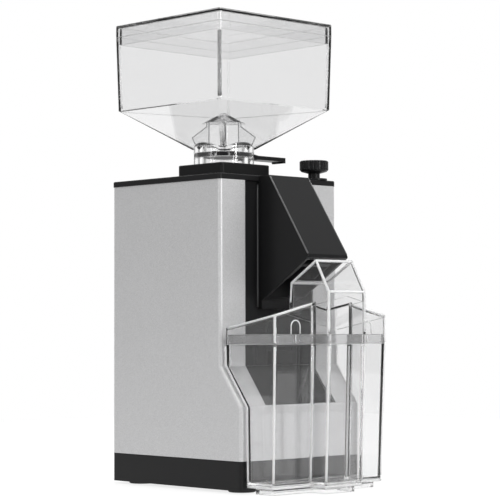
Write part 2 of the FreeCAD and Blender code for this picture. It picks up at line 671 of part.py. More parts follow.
def make_spout_cover():
    body = piece("spout_cover")
    tail = f"{SPOUT_HEEL} - spout_tail"
    side = polygon(
        (f"-{PANEL_FACE}", tail),
        (f"-{PANEL_FACE}", f"{SHELL_TOP} - seat_gap"),
        (f"-({FRONT} + seat_gap)", f"{SHELL_TOP} - seat_gap"),
        (f"-({FRONT} + seat_gap)", SPOUT_TOP),
        (f"-({FRONT} + spout_top_reach)", SPOUT_TOP),
        (f"-({FRONT} + spout_reach)", SPOUT_NOSE),
        (f"-({FRONT} + spout_reach)", f"{SPOUT_NOSE} - spout_lip"),
        (f"-({FRONT} + spout_heel_reach)", SPOUT_HEEL),
        (f"-({FRONT} + spout_heel_reach)", tail),
    )
    pad(body, "YZ", [side], "spout_width", symmetric=True)
    fillet(body, "soft_edge", along_slant)
    slant = "spout_wall * sqrt(1 + ((spout_reach - spout_top_reach) / spout_nose_drop) ^ 2)"
    room = polygon(
        (f"-({PANEL_FACE} - spout_wall)", f"{SPOUT_HEEL} + spout_wall"),
        (f"-({PANEL_FACE} - spout_wall)", f"{SHELL_TOP} - seat_gap - spout_wall"),
        (f"-({FRONT} + seat_gap + spout_wall)", f"{SHELL_TOP} - seat_gap - spout_wall"),
        (f"-({FRONT} + seat_gap + spout_wall)", f"{SPOUT_TOP} - spout_wall"),
        (f"-({FRONT} + spout_top_reach - {slant} / 2)", f"{SPOUT_TOP} - spout_wall"),
        (f"-({FRONT} + spout_reach - {slant})", SPOUT_NOSE),
        (f"-({FRONT} + spout_reach - {slant})", f"{SPOUT_HEEL} + spout_wall"),
    )
    pocket(body, "YZ", [room], "spout_width - 2 * spout_wall", symmetric=True)
    return keep(body)


def along_slant(edge):
    """Whether an edge runs down the slanted front of the spout, at either side."""
    run = run_of(edge)
    return abs(run.x) < 1 - STRAIGHT < abs(run.y) < abs(run.z)


def make_grounds_chute():
    body = piece("grounds_chute")
    chute_outline(body, "0", "chute_width", pad)
    chute_outline(body, "chute_wall", "chute_width - 2 * chute_wall", pocket)
    return keep(body)


CHUTE_START = "(chamber_radius + seat_gap)"
CHUTE_BEND = f"({FRONT} + chute_bend_reach)"


def chute_outline(body, inset, width, make):
    """The chute seen from the side: level out of the chamber, then down to the open spout."""
    past = f"({inset}) * 2"
    aside = f"({inset}) * mitre_in"
    down = f"({inset}) * mitre_down"
    out_front = f"{SPOUT_HEEL} + {SPOUT_RISE} * (chute_out_front - spout_heel_reach) + chute_recess"
    out_back = f"{SPOUT_HEEL} + {SPOUT_RISE} * (chute_out_back - spout_heel_reach) + chute_recess"
    outline = polygon(
        (f"-({CHUTE_START} - {past})", f"{CHUTE_HIGH} - {inset}"),
        (f"-({CHUTE_BEND} - ({inset}) / 2)", f"{CHUTE_HIGH} - {inset}"),
        (f"-({FRONT} + chute_out_front - {aside})", f"{out_front} - {down}"),
        (f"-({FRONT} + chute_out_back + {aside})", f"{out_back} - {down}"),
        (f"-({FRONT} - panel_recess + ({inset}) / 2)", f"{CHUTE_LOW} + {inset}"),
        (f"-({CHUTE_START} - {past})", f"{CHUTE_LOW} + {inset}"),
    )
    make(body, "YZ", [outline], width, symmetric=True)


def make_chute_flap():
    body = piece("chute_flap")
    top = f"{CHUTE_HIGH} - chute_wall"
    near = f"{PANEL_FACE} - flap_thickness"
    strip = rectangle(f"-{PANEL_FACE}", f"{top} - flap_drop", f"-({near})", top)
    pad(body, "YZ", [strip], "chute_width - 2 * chute_wall - 2 * slip_gap", symmetric=True)
    slits = [
        rectangle(
            f"{x} - flap_thickness / 2", f"{top} - flap_drop - cut_past",
            f"{x} + flap_thickness / 2", f"{top} - slit_drop",
        )
        for x in ("-slit_x", "slit_x")
    ]
    pocket(body, "XZ", slits, "flap_thickness + 2 * cut_past", offset=f"{near} - cut_past")
    return keep(body)


def make_deck_plate():
    body = piece("deck_plate")
    deep = f"{FRONT} - shell_wall - slip_gap"
    front = f"-({FLANGE_BACK} - slip_gap)"
    side = f"{INNER_SIDE} - slip_gap"
    pad(body, "XY", [rounded(side, front, deep, "edge_radius")], "deck_thickness", offset=DECK_BOTTOM)
    bores = [circle("sleeve_radius + run_gap"), circle("spindle_radius + run_gap", KNOB_X, f"-{KNOB_Y}")]
    bores += [circle("screw_radius + run_gap", x, y) for x, y in column_places()]
    pocket(body, "XY", bores, "deck_thickness + 2 * cut_past", offset=f"{DECK_BOTTOM} - cut_past")
    return keep(body)


def make_deck_screws():
    screws = [
        screw(
            f"deck_screw_{number}", "screw_radius", "screw_head_radius", "screw_head_height",
            "deck_thickness + screw_head_height + screw_grip",
            x=x, y=y, z=f"{DECK_TOP} + screw_head_height", turn="180", axis=ALONG_X,
        )
        for number, (x, y) in enumerate(column_places())
    ]
    return group("deck_screws", screws)


def make_grinding_chamber():
    inner = "chamber_radius - chamber_wall"
    body = turned(
        "grinding_chamber",
        ("hub_hole", DECK_TOP),
        ("chamber_radius + chamber_flange", DECK_TOP),
        ("chamber_radius + chamber_flange", f"{DECK_TOP} + chamber_floor / 2"),
        ("chamber_radius", f"{DECK_TOP} + chamber_floor / 2"),
        ("chamber_radius", CHAMBER_TOP),
        (inner, CHAMBER_TOP),
        (inner, f"{DECK_TOP} + chamber_floor"),
        ("hub_hole", f"{DECK_TOP} + chamber_floor"),
    )
    outlet = band("chute_width / 2 + seat_gap", f"{CHUTE_LOW} - seat_gap", f"{CHUTE_HIGH} + seat_gap")
    face = "sqrt(chamber_radius ^ 2 - (chute_width / 2) ^ 2) - seat_gap"
    pocket(body, "XZ", [outlet], "chamber_radius", offset=face)
    floor = f"{DECK_TOP} + chamber_floor"
    mouth = band("chute_width / 2 - chute_wall", floor, f"{CHUTE_HIGH} - chute_wall")
    pocket(body, "XZ", [mouth], "chamber_radius", offset="chamber_radius / 2")
    return keep(body)


def make_upper_burr_carrier():
    plate = "chamber_radius - chamber_wall - run_gap"
    tube = "throat_radius + bell_wall"
    body = turned(
        "upper_burr_carrier",
        ("burr_bore", UPPER_BURR_TOP),
        (plate, UPPER_BURR_TOP),
        (plate, CHAMBER_TOP),
        ("chamber_radius", CHAMBER_TOP),
        ("chamber_radius", f"{CHAMBER_TOP} + bell_flange"),
        (tube, f"{CHAMBER_TOP} + bell_flange"),
        (tube, COVER_TOP),
        ("throat_radius", COVER_TOP),
        ("throat_radius", f"{CHAMBER_TOP} + bell_flange"),
        ("burr_bore", CHAMBER_TOP),
    )
    hole = circle("burr_screw + run_gap", "burr_screw_circle")
    hole = pocket(body, "XY", [hole], "bell_wall", offset=UPPER_BURR_TOP)
    polar(body, hole, BURR_SCREWS)
    return keep(body)


def make_burr(name, **place):
    """A flat burr lying on its back, with skewed cutting grooves in its upper face."""
    body = ring(name, "burr_bore", "burr_radius", "0", "burr_thickness", **place)
    sink = "(burr_screw_head - burr_screw)"
    hole = circle("burr_screw + run_gap", "burr_screw_circle")
    through = pocket(body, "XY", [hole], "burr_thickness + 2 * cut_past", offset="-cut_past")
    polar(body, through, BURR_SCREWS)
    recess = circle("burr_screw_head + run_gap", "burr_screw_circle")
    depth = f"{sink} + burr_groove"
    seat = pocket(body, "XY", [recess], f"{depth} + cut_past", offset=f"burr_thickness - ({depth})")
    polar(body, seat, BURR_SCREWS)
    groove = polygon(
        ("burr_bore / 2", "groove_skew"),
        ("burr_radius + cut_past", "groove_skew - groove_width"),
        ("burr_radius + cut_past", "groove_skew"),
        ("burr_bore / 2", "groove_skew + groove_width * 2"),
    )
    cut = pocket(body, "XY", [groove], "burr_groove + cut_past", offset="burr_thickness - burr_groove")
    polar(body, cut, BURR_GROOVES)
    return keep(body)


def make_burr_screws(name, height, **turn):
    """Three flat-head screws that hold a burr, with their heads sunk in its face."""
    places = [
        (f"burr_screw_circle * cos({FULL_TURN * i / BURR_SCREWS})",
         f"burr_screw_circle * sin({FULL_TURN * i / BURR_SCREWS})")
        for i in range(BURR_SCREWS)
    ]
    head = "burr_screw_head - burr_screw"
    screws = [
        screw(
            f"{name}_{i}", "burr_screw", "burr_screw_head", head, "burr_screw_length",
            x=x, y=y, z=height, **turn,
        )
        for i, (x, y) in enumerate(places)
    ]
    return group(name, screws)


def make_lower_burr_carrier():
    low = f"{CARRIER_TOP} - carrier_thickness"
    body = turned(
        "lower_burr_carrier",
        ("shaft_radius + run_gap", f"{CARRIER_TOP} - carrier_drop"),
        ("hub_radius", f"{CARRIER_TOP} - carrier_drop"),
        ("hub_radius", low),
        ("carrier_radius", low),
        ("carrier_radius", CARRIER_TOP),
        ("shaft_radius + run_gap", CARRIER_TOP),
    )
    vane = rectangle("burr_radius", "-vane_width / 2", "carrier_radius + vane_reach", "vane_width / 2")
    polar(body, pad(body, "XY", [vane], "carrier_thickness", offset=low), SWEEPER_VANES)
    hole = circle("burr_screw + run_gap", "burr_screw_circle")
    hole = pocket(body, "XY", [hole], "carrier_thickness + cut_past", offset=low)
    polar(body, hole, BURR_SCREWS)
    return keep(body)


def make_motor_shaft():
    body = turned(
        "motor_shaft",
        ("0", FAN_BOTTOM),
        ("shaft_foot_radius", FAN_BOTTOM),
        ("shaft_foot_radius", f"{LOW_BRACKET_TOP} + bearing_sink"),
        ("shaft_radius", f"{LOW_BRACKET_TOP} + bearing_sink"),
        ("shaft_radius", LOWER_BURR_FACE),
        ("0", LOWER_BURR_FACE),
    )
    return keep(body)


def make_rotor_core():
    low = f"{STATOR_BOTTOM} + rotor_margin"
    high = f"{STATOR_TOP} - rotor_margin"
    return keep(ring("rotor_core", "shaft_radius + run_gap", f"{STATOR_BORE} - air_gap", low, high))


def make_stator_core():
    return keep(ring("stator_core", STATOR_BORE, STATOR_RADIUS, STATOR_BOTTOM, STATOR_TOP))


def make_stator_windings():
    coils = []
    inner = f"{STATOR_BORE} + winding_inset"
    outer = f"{STATOR_RADIUS} - winding_margin"
    for name, low in (("upper_coil", STATOR_TOP), ("lower_coil", f"{STATOR_BOTTOM} - winding_height")):
        high = f"{low} + winding_height"
        coils.append(
            turned(
                name,
                (inner, f"{low} + winding_chamfer"),
                (f"{inner} + winding_chamfer", low),
                (f"{outer} - winding_chamfer", low),
                (outer, f"{low} + winding_chamfer"),
                (outer, f"{high} - winding_chamfer"),
                (f"{outer} - winding_chamfer", high),
                (f"{inner} + winding_chamfer", high),
                (inner, f"{high} - winding_chamfer"),
            )
        )
    return group("stator_windings", coils)


def pillar_holes():
    """The places of the four pillars that hang the motor under the deck."""
    circle_radius = f"({BRACKET_RADIUS} - pillar_inset)"
    angles = [f"({ARM_TURN} + (pillar_angle + {FULL_TURN * i / PILLARS}) * 1 deg)" for i in range(PILLARS)]
    return [(f"{circle_radius} * cos({angle})", f"{circle_radius} * sin({angle})") for angle in angles]


def motor_bracket(name, plate_low, skirt_low, skirt_high, bore):
    """A round end plate with a skirt that clamps the stator, hung on the pillars."""
    body = ring(name, bore, BRACKET_RADIUS, plate_low, f"{plate_low} + bracket_thickness")
    skirt = [circle(STATOR_RADIUS), circle(f"{STATOR_RADIUS} - skirt_wall")]
    pad(body, "XY", skirt, f"{skirt_high} - {skirt_low}", offset=skirt_low)
    holes = [circle("pillar_radius + run_gap", x, y) for x, y in pillar_holes()]
    pocket(body, "XY", holes, "bracket_thickness + 2 * cut_past", offset=f"{plate_low} - cut_past")
    return keep(body)


def make_upper_motor_bracket():
    low = f"({MOTOR_TOP} - bracket_thickness)"
    inside = f"({low} + bracket_thickness / 2)"
    return motor_bracket("upper_motor_bracket", low, STATOR_TOP, inside, "hub_hole")


def make_lower_motor_bracket():
    seat = "low_bearing_radius"
    start = f"({LOW_BRACKET_BOTTOM} + bracket_thickness / 2)"
    return motor_bracket("lower_motor_bracket", LOW_BRACKET_BOTTOM, start, STATOR_BOTTOM, seat)


def make_motor_pillars():
    bodies = [
        turned(
            f"motor_pillar_{i}",
            ("0", LOW_BRACKET_BOTTOM), ("pillar_radius", LOW_BRACKET_BOTTOM),
            ("pillar_radius", DECK_BOTTOM), ("0", DECK_BOTTOM),
            x=x, y=y,
        )
        for i, (x, y) in enumerate(pillar_holes())
    ]
    return group("motor_pillars", bodies)


def bearing(name, bore, outer, low):
    """A shielded ball bearing: two races with sunk shields between them."""
    high = f"{low} + bearing_width"
    body = turned(
        name,
        (bore, low), (f"{bore} + race_wall", low),
        (f"{bore} + race_wall", f"{low} + shield_sink"), (f"{outer} - race_wall", f"{low} + shield_sink"),
        (f"{outer} - race_wall", low), (outer, low),
        (outer, high), (f"{outer} - race_wall", high),
        (f"{outer} - race_wall", f"{high} - shield_sink"), (f"{bore} + race_wall", f"{high} - shield_sink"),
        (f"{bore} + race_wall", high), (bore, high),
    )
    return keep(body)


def make_cooling_fan():
    bore = "shaft_foot_radius + run_gap"
    tip = f"{STATOR_RADIUS} - fan_margin"
    body = turned(
        "cooling_fan",
        (bore, FAN_BOTTOM), ("fan_hub", FAN_BOTTOM), ("fan_hub", f"{FAN_TOP} - fan_back"),
        (tip, f"{FAN_TOP} - fan_back"), (tip, FAN_TOP), (bore, FAN_TOP),
    )
    blade = rectangle("fan_hub - blade_width", "-blade_width / 2", tip, "blade_width / 2")
    polar(body, pad(body, "XY", [blade], "fan_height - fan_back / 2", offset=FAN_BOTTOM), FAN_BLADES)
    return keep(body)


def make_bearing_sleeve():
    top = f"{DECK_TOP} - bearing_sink"
    seat = f"{top} - bearing_width"
    body = turned(
        "bearing_sleeve",
        ("hub_hole", FLANGE_BOTTOM), ("sleeve_flange", FLANGE_BOTTOM), ("sleeve_flange", SLEEVE_BOTTOM),
        ("sleeve_radius", SLEEVE_BOTTOM), ("sleeve_radius", top), ("top_bearing_radius", top),
        ("top_bearing_radius", seat), ("hub_hole", seat),
    )
    return keep(body)


def on_lever(name):
    """A body laid along the lever: its X runs from the burr axis to the knob's spindle."""
    return piece(name, z=LEVER_AXIS, turn=ARM_TURN)


def make_adjust_lever():
    body = on_lever("adjust_lever")
    low = "-lever_height / 2"
    bar = rectangle("fork_end - cheek", "-lever_width / 2", ARM, "lever_width / 2")
    pad(body, "XY", [bar], "lever_height", offset=low)
    pad(body, "XY", [circle("eye_radius", ARM)], "lever_height", offset=low)
    fork = rectangle("pad_start / 2", "-fork_half", "fork_end", "fork_half")
    pad(body, "XY", [fork], "lever_height", offset=low)
    far = "pad_start + pad_length"
    pads = [
        rectangle("pad_start", f"{side} - pad_width / 2", far, f"{side} + pad_width / 2")
        for side in ("pad_side", "-pad_side")
    ]
    rise = f"{FLANGE_BOTTOM} - slip_gap - {LEVER_AXIS}"
    pad(body, "XY", pads, rise)
    bores = [circle("fork_notch"), circle("nut_radius + run_gap", ARM)]
    through = f"lever_height / 2 + {rise} + 2 * cut_past"
    pocket(body, "XY", bores, through, offset=f"{low} - cut_past")
    pivot = circle("pin_radius + run_gap", "lever_pivot")
    pocket(body, "XZ", [pivot], "lever_width + 2 * cut_past", symmetric=True)
    return keep(body)


def make_lever_nut():
    body = on_lever("lever_nut")
    tube = [circle("nut_radius", ARM), circle("spindle_radius + slip_gap", ARM)]
    pad(body, "XY", tube, "nut_height", symmetric=True)
    return keep(body)


def make_lever_bracket():
    body = on_lever("lever_bracket")
    near = "lever_pivot - bracket_length / 2"
    far = "lever_pivot + bracket_length / 2"
    gap = "(lever_width / 2 + slip_gap)"
    top = f"{DECK_BOTTOM} - {LEVER_AXIS}"
    foot = "(lever_height / 2 + pin_radius)"
    outline = rectangle(near, f"-({gap} + cheek)", far, f"{gap} + cheek")
    pad(body, "XY", [outline], f"{top} + {foot}", offset=f"-{foot}")
    slot = rectangle(near, f"-{gap}", far, gap)
    pocket(body, "XY", [slot], f"{top} + {foot} - cheek", offset=f"-{foot}")
    pivot = circle("pin_radius + run_gap", "lever_pivot")
    pocket(body, "XZ", [pivot], f"2 * ({gap} + cheek + cut_past)", symmetric=True)
    return keep(body)


def make_lever_pin():
    body = on_lever("lever_pin")
    length = "lever_width + 2 * slip_gap + 2 * cheek"
    pad(body, "XZ", [circle("pin_radius", "lever_pivot")], length, symmetric=True)
    return keep(body)


KNOB_LOW = f"({COVER_TOP} + knob_rise)"
KNOB_TOP = f"({KNOB_LOW} + knob_height)"


def make_adjust_knob():
    bore = "spindle_radius + run_gap"
    body = turned(
        "adjust_knob",
        (bore, f"{COVER_TOP} + dial_thickness + slip_gap"),
        ("knob_stem", f"{COVER_TOP} + dial_thickness + slip_gap"),
        ("knob_stem", f"{KNOB_LOW} - knob_edge"),
        ("knob_radius - knob_edge", KNOB_LOW),
        ("knob_radius", f"{KNOB_LOW} + knob_edge"),
        ("knob_radius", f"{KNOB_TOP} - knob_edge / 2"),
        ("knob_radius - knob_edge / 2", KNOB_TOP),
        ("0", KNOB_TOP),
        ("0", f"{KNOB_LOW} + knob_height / 2"),
        (bore, f"{KNOB_LOW} + knob_height / 2"),
        x=KNOB_X,
        y=f"-{KNOB_Y}",
    )
    flute = circle("flute_radius", "knob_radius")
    polar(body, pocket(body, "XY", [flute], "knob_height", offset=KNOB_LOW), KNOB_FLUTES)
    return keep(body)


def make_adjust_spindle():
    low = f"{DECK_BOTTOM} - spindle_tail"
    high = f"{KNOB_LOW} + knob_height / 2"
    body = turned(
        "adjust_spindle", ("0", low), ("spindle_radius", low), ("spindle_radius", high), ("0", high),
        x=KNOB_X, y=f"-{KNOB_Y}",
    )
    return keep(body)


def make_dial_plate():
    body = ring(
        "dial_plate", "spindle_radius + slip_gap", "dial_radius",
        COVER_TOP, f"{COVER_TOP} + dial_thickness", x=KNOB_X, y=f"-{KNOB_Y}",
    )
    return keep(body)


def make_start_button():
    body = piece("start_button")
    seat = f"({FLANGE_BACK} - slip_gap)"
    low = f"{BUTTON_Z} - button_height / 2"
    high = f"{BUTTON_Z} + button_height / 2"
    pad(body, "XZ", [rounded("button_width / 2", low, high, "soft_edge")],
        f"{PANEL_FACE} + button_proud - {seat}", offset=seat)
    wide = rectangle(
        "-button_width / 2 - button_flange", f"{low} - button_flange",
        "button_width / 2 + button_flange", f"{high} + button_flange",
    )
    pad(body, "XZ", [wide], "button_flange", offset=f"{seat} - button_flange")
    return keep(body)


def make_start_switch():
    body = piece("start_switch")
    low = f"{BUTTON_Z} - button_height / 2"
    high = f"{BUTTON_Z} + button_height / 2"
    outline = band("switch_width / 2", low, high)
    pad(body, "XZ", [outline], "switch_depth", offset=f"{SWITCH_FACE} - switch_depth")
    return keep(body)


def make_switch_housing():
    body = piece("switch_housing", x=SIDE, y="control_y", z=ROCKER_Z)
    outer = band(HOUSING_HALF_Y, f"-{HOUSING_HALF_Z}", HOUSING_HALF_Z)
    pad(body, "YZ", [outer], "housing_depth", offset="-housing_depth")
    lap_y = f"{HOUSING_HALF_Y} + housing_lap"
    lap_z = f"{HOUSING_HALF_Z} + housing_lap"
    pad(body, "YZ", [band(lap_y, f"-({lap_z})", lap_z)], "housing_lap", offset="-shell_wall - housing_lap")
    reach = "(rocker_length / 2 + slip_gap)"
    room = band("rocker_width / 2 + slip_gap", f"-{reach}", reach)
    pocket(body, "YZ", [room], "housing_depth", offset="-housing_depth + housing_back")
    stub = circle("stub_radius + run_gap", "-rocker_depth")
    pocket(body, "XZ", [stub], f"2 * {HOUSING_HALF_Y} - housing_wall", symmetric=True)
    return keep(body)


def make_power_rocker():
    body = piece(
        "power_rocker", x=f"{SIDE} - rocker_depth", y="control_y", z=ROCKER_Z,
        turn="-rocker_tilt", axis=ALONG_Y,
    )
    half = "(rocker_length / 2 - rocker_depth * sin(rocker_tilt))"
    crest = f"rocker_depth - {half} * sin(rocker_tilt)"
    side = polygon(
        ("-rocker_keel", f"-{half} / 2"), ("0", f"-{half}"), (crest, f"-{half}"),
        (f"{crest} - rocker_hollow", "0"),
        (crest, half), ("0", half), ("-rocker_keel", f"{half} / 2"),
    )
    pad(body, "XZ", [side], "rocker_width", symmetric=True)
    span = f"2 * {HOUSING_HALF_Y} - housing_wall - 2 * run_gap"
    pad(body, "XZ", [circle("stub_radius")], span, symmetric=True)
    return keep(body)


def on_right_side(name, *points):
    """A piece turned about an axis that points out of the right side wall, from the wall's inner face."""
    return turned(name, *points, x=INNER_SIDE, y="control_y", z=TIMER_Z, turn="90", axis=ALONG_Y)


def make_timer_dial():
    body = on_right_side(
        "timer_dial",
        ("0", "-timer_stem_length"), ("timer_stem", "-timer_stem_length"), ("timer_stem", "slip_gap"),
        ("timer_radius", "slip_gap"), ("timer_radius", "shell_wall - grip_depth / 2"),
        ("timer_radius - grip_depth / 2", "shell_wall"), ("0", "shell_wall"),
    )
    for side in ("1", "-1"):
        inner = f"{side} * grip_width / 2"
        outer = f"{side} * timer_radius"
        recess = rectangle("-timer_radius", inner, "timer_radius", outer)
        pocket(body, "XY", [recess], "grip_depth + cut_past", offset="shell_wall - grip_depth")
    return keep(body)


def make_timer_pot():
    bore = "timer_stem + run_gap"
    body = on_right_side(
        "timer_pot",
        ("0", "-pot_depth"), ("timer_body", "-pot_depth"), ("timer_body", "-grip_depth"),
        ("timer_plate", "-grip_depth"), ("timer_plate", "0"), (bore, "0"),
        (bore, "-timer_stem_length - slip_gap"), ("0", "-timer_stem_length - slip_gap"),
    )
    return keep(body)


def make_control_board():
    body = piece("control_board", x=f"{INNER_SIDE} - pot_depth", y="control_y", z=TIMER_Z)
    outline = band("board_length / 2", "-board_height / 2", "board_height / 2")
    pad(body, "YZ", [outline], "board_thickness", offset="-board_thickness")
    return keep(body)


def make_run_capacitor():
    body = turned(
        "run_capacitor",
        ("0", "0"), ("can_radius - soft_edge", "0"), ("can_radius", "soft_edge"),
        ("can_radius", "can_length - soft_edge"), ("can_radius - soft_edge", "can_length"),
        ("0", "can_length"),
        x="-can_length / 2",
        y=f"-({LOWER_FRONT} - base_wall - can_radius - slip_gap)",
        z="foot_rise + base_wall + can_radius + run_gap",
        turn="90",
        axis=ALONG_Y,
    )
    return keep(body)


def make_cable_gland():
    body = turned(
        "cable_gland",
        ("gland_bore", "-gland_tail"), ("gland_shank", "-gland_tail"), ("gland_shank", "0"),
        ("gland_radius", "0"), ("gland_radius", "gland_reach / 2"), ("gland_shank", "gland_reach"),
        ("gland_bore", "gland_reach"),
        x="-gland_x", y="body_depth / 2", z="foot_rise + gland_rise", turn="-90", axis=ALONG_X,
    )
    return keep(body)


def square(half, radius):
    """A square outline with round corners about the axis."""
    return rounded(half, f"-({half})", half, radius)


INNER_FOOT = "(funnel_foot - hopper_wall / 2)"
INNER_LOW = "(hopper_top_half - hopper_lean - hopper_wall)"
INNER_TOP = "(hopper_top_half - hopper_wall)"
INNER_START = f"({NECK_TOP} + hopper_wall)"
FUNNEL_SLOPE = f"((funnel_height - hopper_wall) / ({INNER_LOW} - {INNER_FOOT}))"


def make_hopper_bowl():
    body = piece("hopper_bowl")
    loft(body, [
        (square("funnel_foot", "foot_corner"), NECK_TOP),
        (square("hopper_top_half - hopper_lean", "hopper_radius"), WALL_BOTTOM),
        (square("hopper_top_half", "hopper_radius"), HOPPER_TOP),
    ])
    pad(body, "XY", [circle("neck_radius")], "neck_height + neck_rise", offset=BLOCK_TOP)
    spigot = "spigot_length + neck_height / 2"
    pad(body, "XY", [circle("spigot_radius")], spigot, offset=f"{BLOCK_TOP} - spigot_length")
    loft(body, [
        (square(INNER_FOOT, "foot_corner"), INNER_START),
        (square(INNER_LOW, "hopper_radius - hopper_wall / 2"), WALL_BOTTOM),
        (square(INNER_TOP, "hopper_radius - hopper_wall / 2"), HOPPER_TOP),
    ], "SubtractiveLoft")
    depth = "spigot_length + neck_height + neck_rise + cut_past"
    pocket(body, "XY", [circle("throat_radius")], depth, offset=f"{BLOCK_TOP} - spigot_length - cut_past")
    side = "(gate_half + slip_gap)"
    slot = rectangle(f"-{side}", f"-{side}", "neck_radius + cut_past", side)
    pocket(body, "XY", [slot], "gate_thickness + 2 * slip_gap", offset=f"{GATE_FLOOR} - slip_gap")
    return keep(body)


def make_gate_slide():
    body = piece("gate_slide", z=GATE_FLOOR)
    pad(body, "XY", [circle("gate_half")], "gate_thickness")
    tab = rectangle("0", "-tab_width / 2", "gate_reach", "tab_width / 2")
    pad(body, "XY", [tab], "gate_thickness")
    root = "neck_radius + slip_gap"
    thick = polygon(
        (root, "-tab_lip_rise"), (f"{root} + tab_root", "0"),
        (f"{root} + tab_root", "gate_thickness"), (root, "gate_thickness + tab_lip_rise"),
    )
    pad(body, "XZ", [thick], "tab_width", symmetric=True)
    lip = rectangle("gate_reach - tab_lip", "-tab_lip_rise", "gate_reach", "gate_thickness")
    pad(body, "XZ", [lip], "tab_width", symmetric=True)
    return keep(body)


def make_hopper_lid():
    body = piece("hopper_lid")
    pad(body, "XY", [square("hopper_top_half", "hopper_radius")], "lid_height", offset=HOPPER_TOP)
    fillet(body, "soft_edge", lambda edge: at_top_of(edge, body))
    room = square("hopper_top_half - lid_wall", "hopper_radius - lid_wall / 2")
    pocket(body, "XY", [room], "lid_height", offset=f"{HOPPER_TOP} - lid_wall")
    plug = f"{INNER_TOP} - slip_gap - lid_gap"
    outer = square(plug, "hopper_radius - lid_wall / 2")
    inner = square(f"{plug} - lid_plug_wall", "lid_plug_wall / 2")
    height = "lid_plug + lid_height - lid_wall / 2"
    pad(body, "XY", [outer, inner], height, offset=f"{HOPPER_TOP} - lid_plug")
    return keep(body)


GUARD_RIM = f"({NECK_TOP} + guard_rise)"


def inside_roof(radius):
    """The height of the middle of the guard's conical roof at a distance from its axis."""
    return f"{GUARD_RIM} + cap_height * (1 - ({radius}) / cap_radius) - cap_rim / 4"


def guard_fin(side):
    """A post under the guard's roof with a pointed fin that stands on the corner of the hopper's floor."""
    floor = f"{INNER_START} + seat_gap"
    inner = "(guard_post - post_depth)"
    return polygon(
        (f"{side} * {inner}", floor),
        (f"{side} * guard_foot", floor),
        (f"{side} * guard_tip", f"{floor} + tip_rise"),
        (f"{side} * guard_post", f"{GUARD_RIM} - shoulder_drop"),
        (f"{side} * guard_post", inside_roof("guard_post")),
        (f"{side} * {inner}", inside_roof(inner)),
    )


def make_finger_guard():
    body = turned(
        "finger_guard",
        ("0", f"{GUARD_RIM} + cap_height - cap_rim"), ("cap_radius - cap_rim", GUARD_RIM),
        ("cap_radius", GUARD_RIM), ("0", f"{GUARD_RIM} + cap_height"),
        turn=EIGHTH_TURN,
    )
    for plane in ("XZ", "YZ"):
        pad(body, plane, [guard_fin(side) for side in ("1", "-1")], "guard_plate", symmetric=True)
    return keep(body)


def plan(inset, drafted=False, rear=f"{FRONT} + dock_gap"):
    """The container seen from above: two wings beside a lobe that stands forward."""
    side = "side_draft" if drafted else "0"
    front = "front_draft" if drafted else "0"
    half = f"({TUB_HALF} - {side} - ({inset}))"
    lobe = f"(lobe_half - ({inset}))"
    wing = f"-({FRONT} + wing_reach - {front} - ({inset}))"
    nose = f"-({FRONT} + lobe_reach - {front} - ({inset}))"
    back = f"-({rear} + ({inset}))"
    return softened(
        "tub_corner" if inset == "0" else "tub_corner / 2",
        (f"-{half}", back), (f"-{half}", wing), (f"-{lobe}", wing), (f"-{lobe}", nose),
        (lobe, nose), (lobe, wing), (half, wing), (half, back),
    )


def tub_form(name, inset, low):
    """The container's form: drafted walls, stepped behind to clear the body's toe."""
    body = piece(name)
    loft(body, [(plan(inset, drafted=True), low), (plan(inset), SKIRT_BOTTOM)])
    toe = f"-({LOWER_FRONT} + dock_gap + ({inset}))"
    rear = f"-({FRONT} + dock_gap + ({inset}))"
    step = polygon(
        (toe, f"{low} - tub_floor"), (toe, SLOPE_LOW), (rear, SLOPE_HIGH),
        (f"-{PANEL_BACK}", SLOPE_HIGH), (f"-{PANEL_BACK}", f"{low} - tub_floor"),
    )
    pocket(body, "YZ", [step], "body_width + 2 * cut_past", symmetric=True)
    return body


def make_container_tub():
    outside = tub_form("tub_outside", "0", "ring_rise")
    pad(outside, "XY", [plan("skirt_wall_lid + lid_gap")], "rim_height", offset=SKIRT_BOTTOM)
    rear = f"{LOWER_FRONT} + dock_gap"
    pad(outside, "XY", [plan("ring_inset", drafted=True, rear=rear)], "ring_rise + tub_floor / 2")
    pocket(outside, "XY", [plan("ring_inset + ring_wall", drafted=True, rear=rear)], "foot_hollow")
    inside = tub_form("tub_inside", "tub_wall", "ring_rise + tub_floor")
    pad(inside, "XY", [plan("tub_wall")], "rim_height + tub_wall", offset=SKIRT_BOTTOM)
    return hollow("container_tub", outside, inside)


def lid_form(name, skirt, roof_drop, tower):
    """The container lid's form: a roof over the wings, rising to the front and to the middle."""
    body = piece(name)
    low = SKIRT_BOTTOM if skirt == "0" else f"{SKIRT_BOTTOM} - rim_height"
    pad(body, "XY", [plan(skirt)], f"{SEAM} + eave_front_rise - ({low})", offset=low)
    wide = f"({TUB_HALF} + roof_margin)"
    fall = "tan(roof_cross)"
    over_roof = polygon(
        (f"-{wide}", f"-roof_margin * {fall}"), ("0", f"{TUB_HALF} * {fall}"),
        (wide, f"-roof_margin * {fall}"), (wide, "roof_reach"), (f"-{wide}", "roof_reach"),
    )
    slope = ("-roof_pitch", f"{SEAM} + roof_rear_rise - ({roof_drop})")
    deep = "2 * (lobe_reach + roof_margin)"
    pocket(body, "XZ", [over_roof], deep, offset=f"{FRONT} + dock_gap", symmetric=True, tilt=slope)
    width = "2 * lobe_half" if skirt == "0" else "2 * (lobe_half - tower_wall)"
    pad(body, "YZ", [tower], width, symmetric=True)
    return body


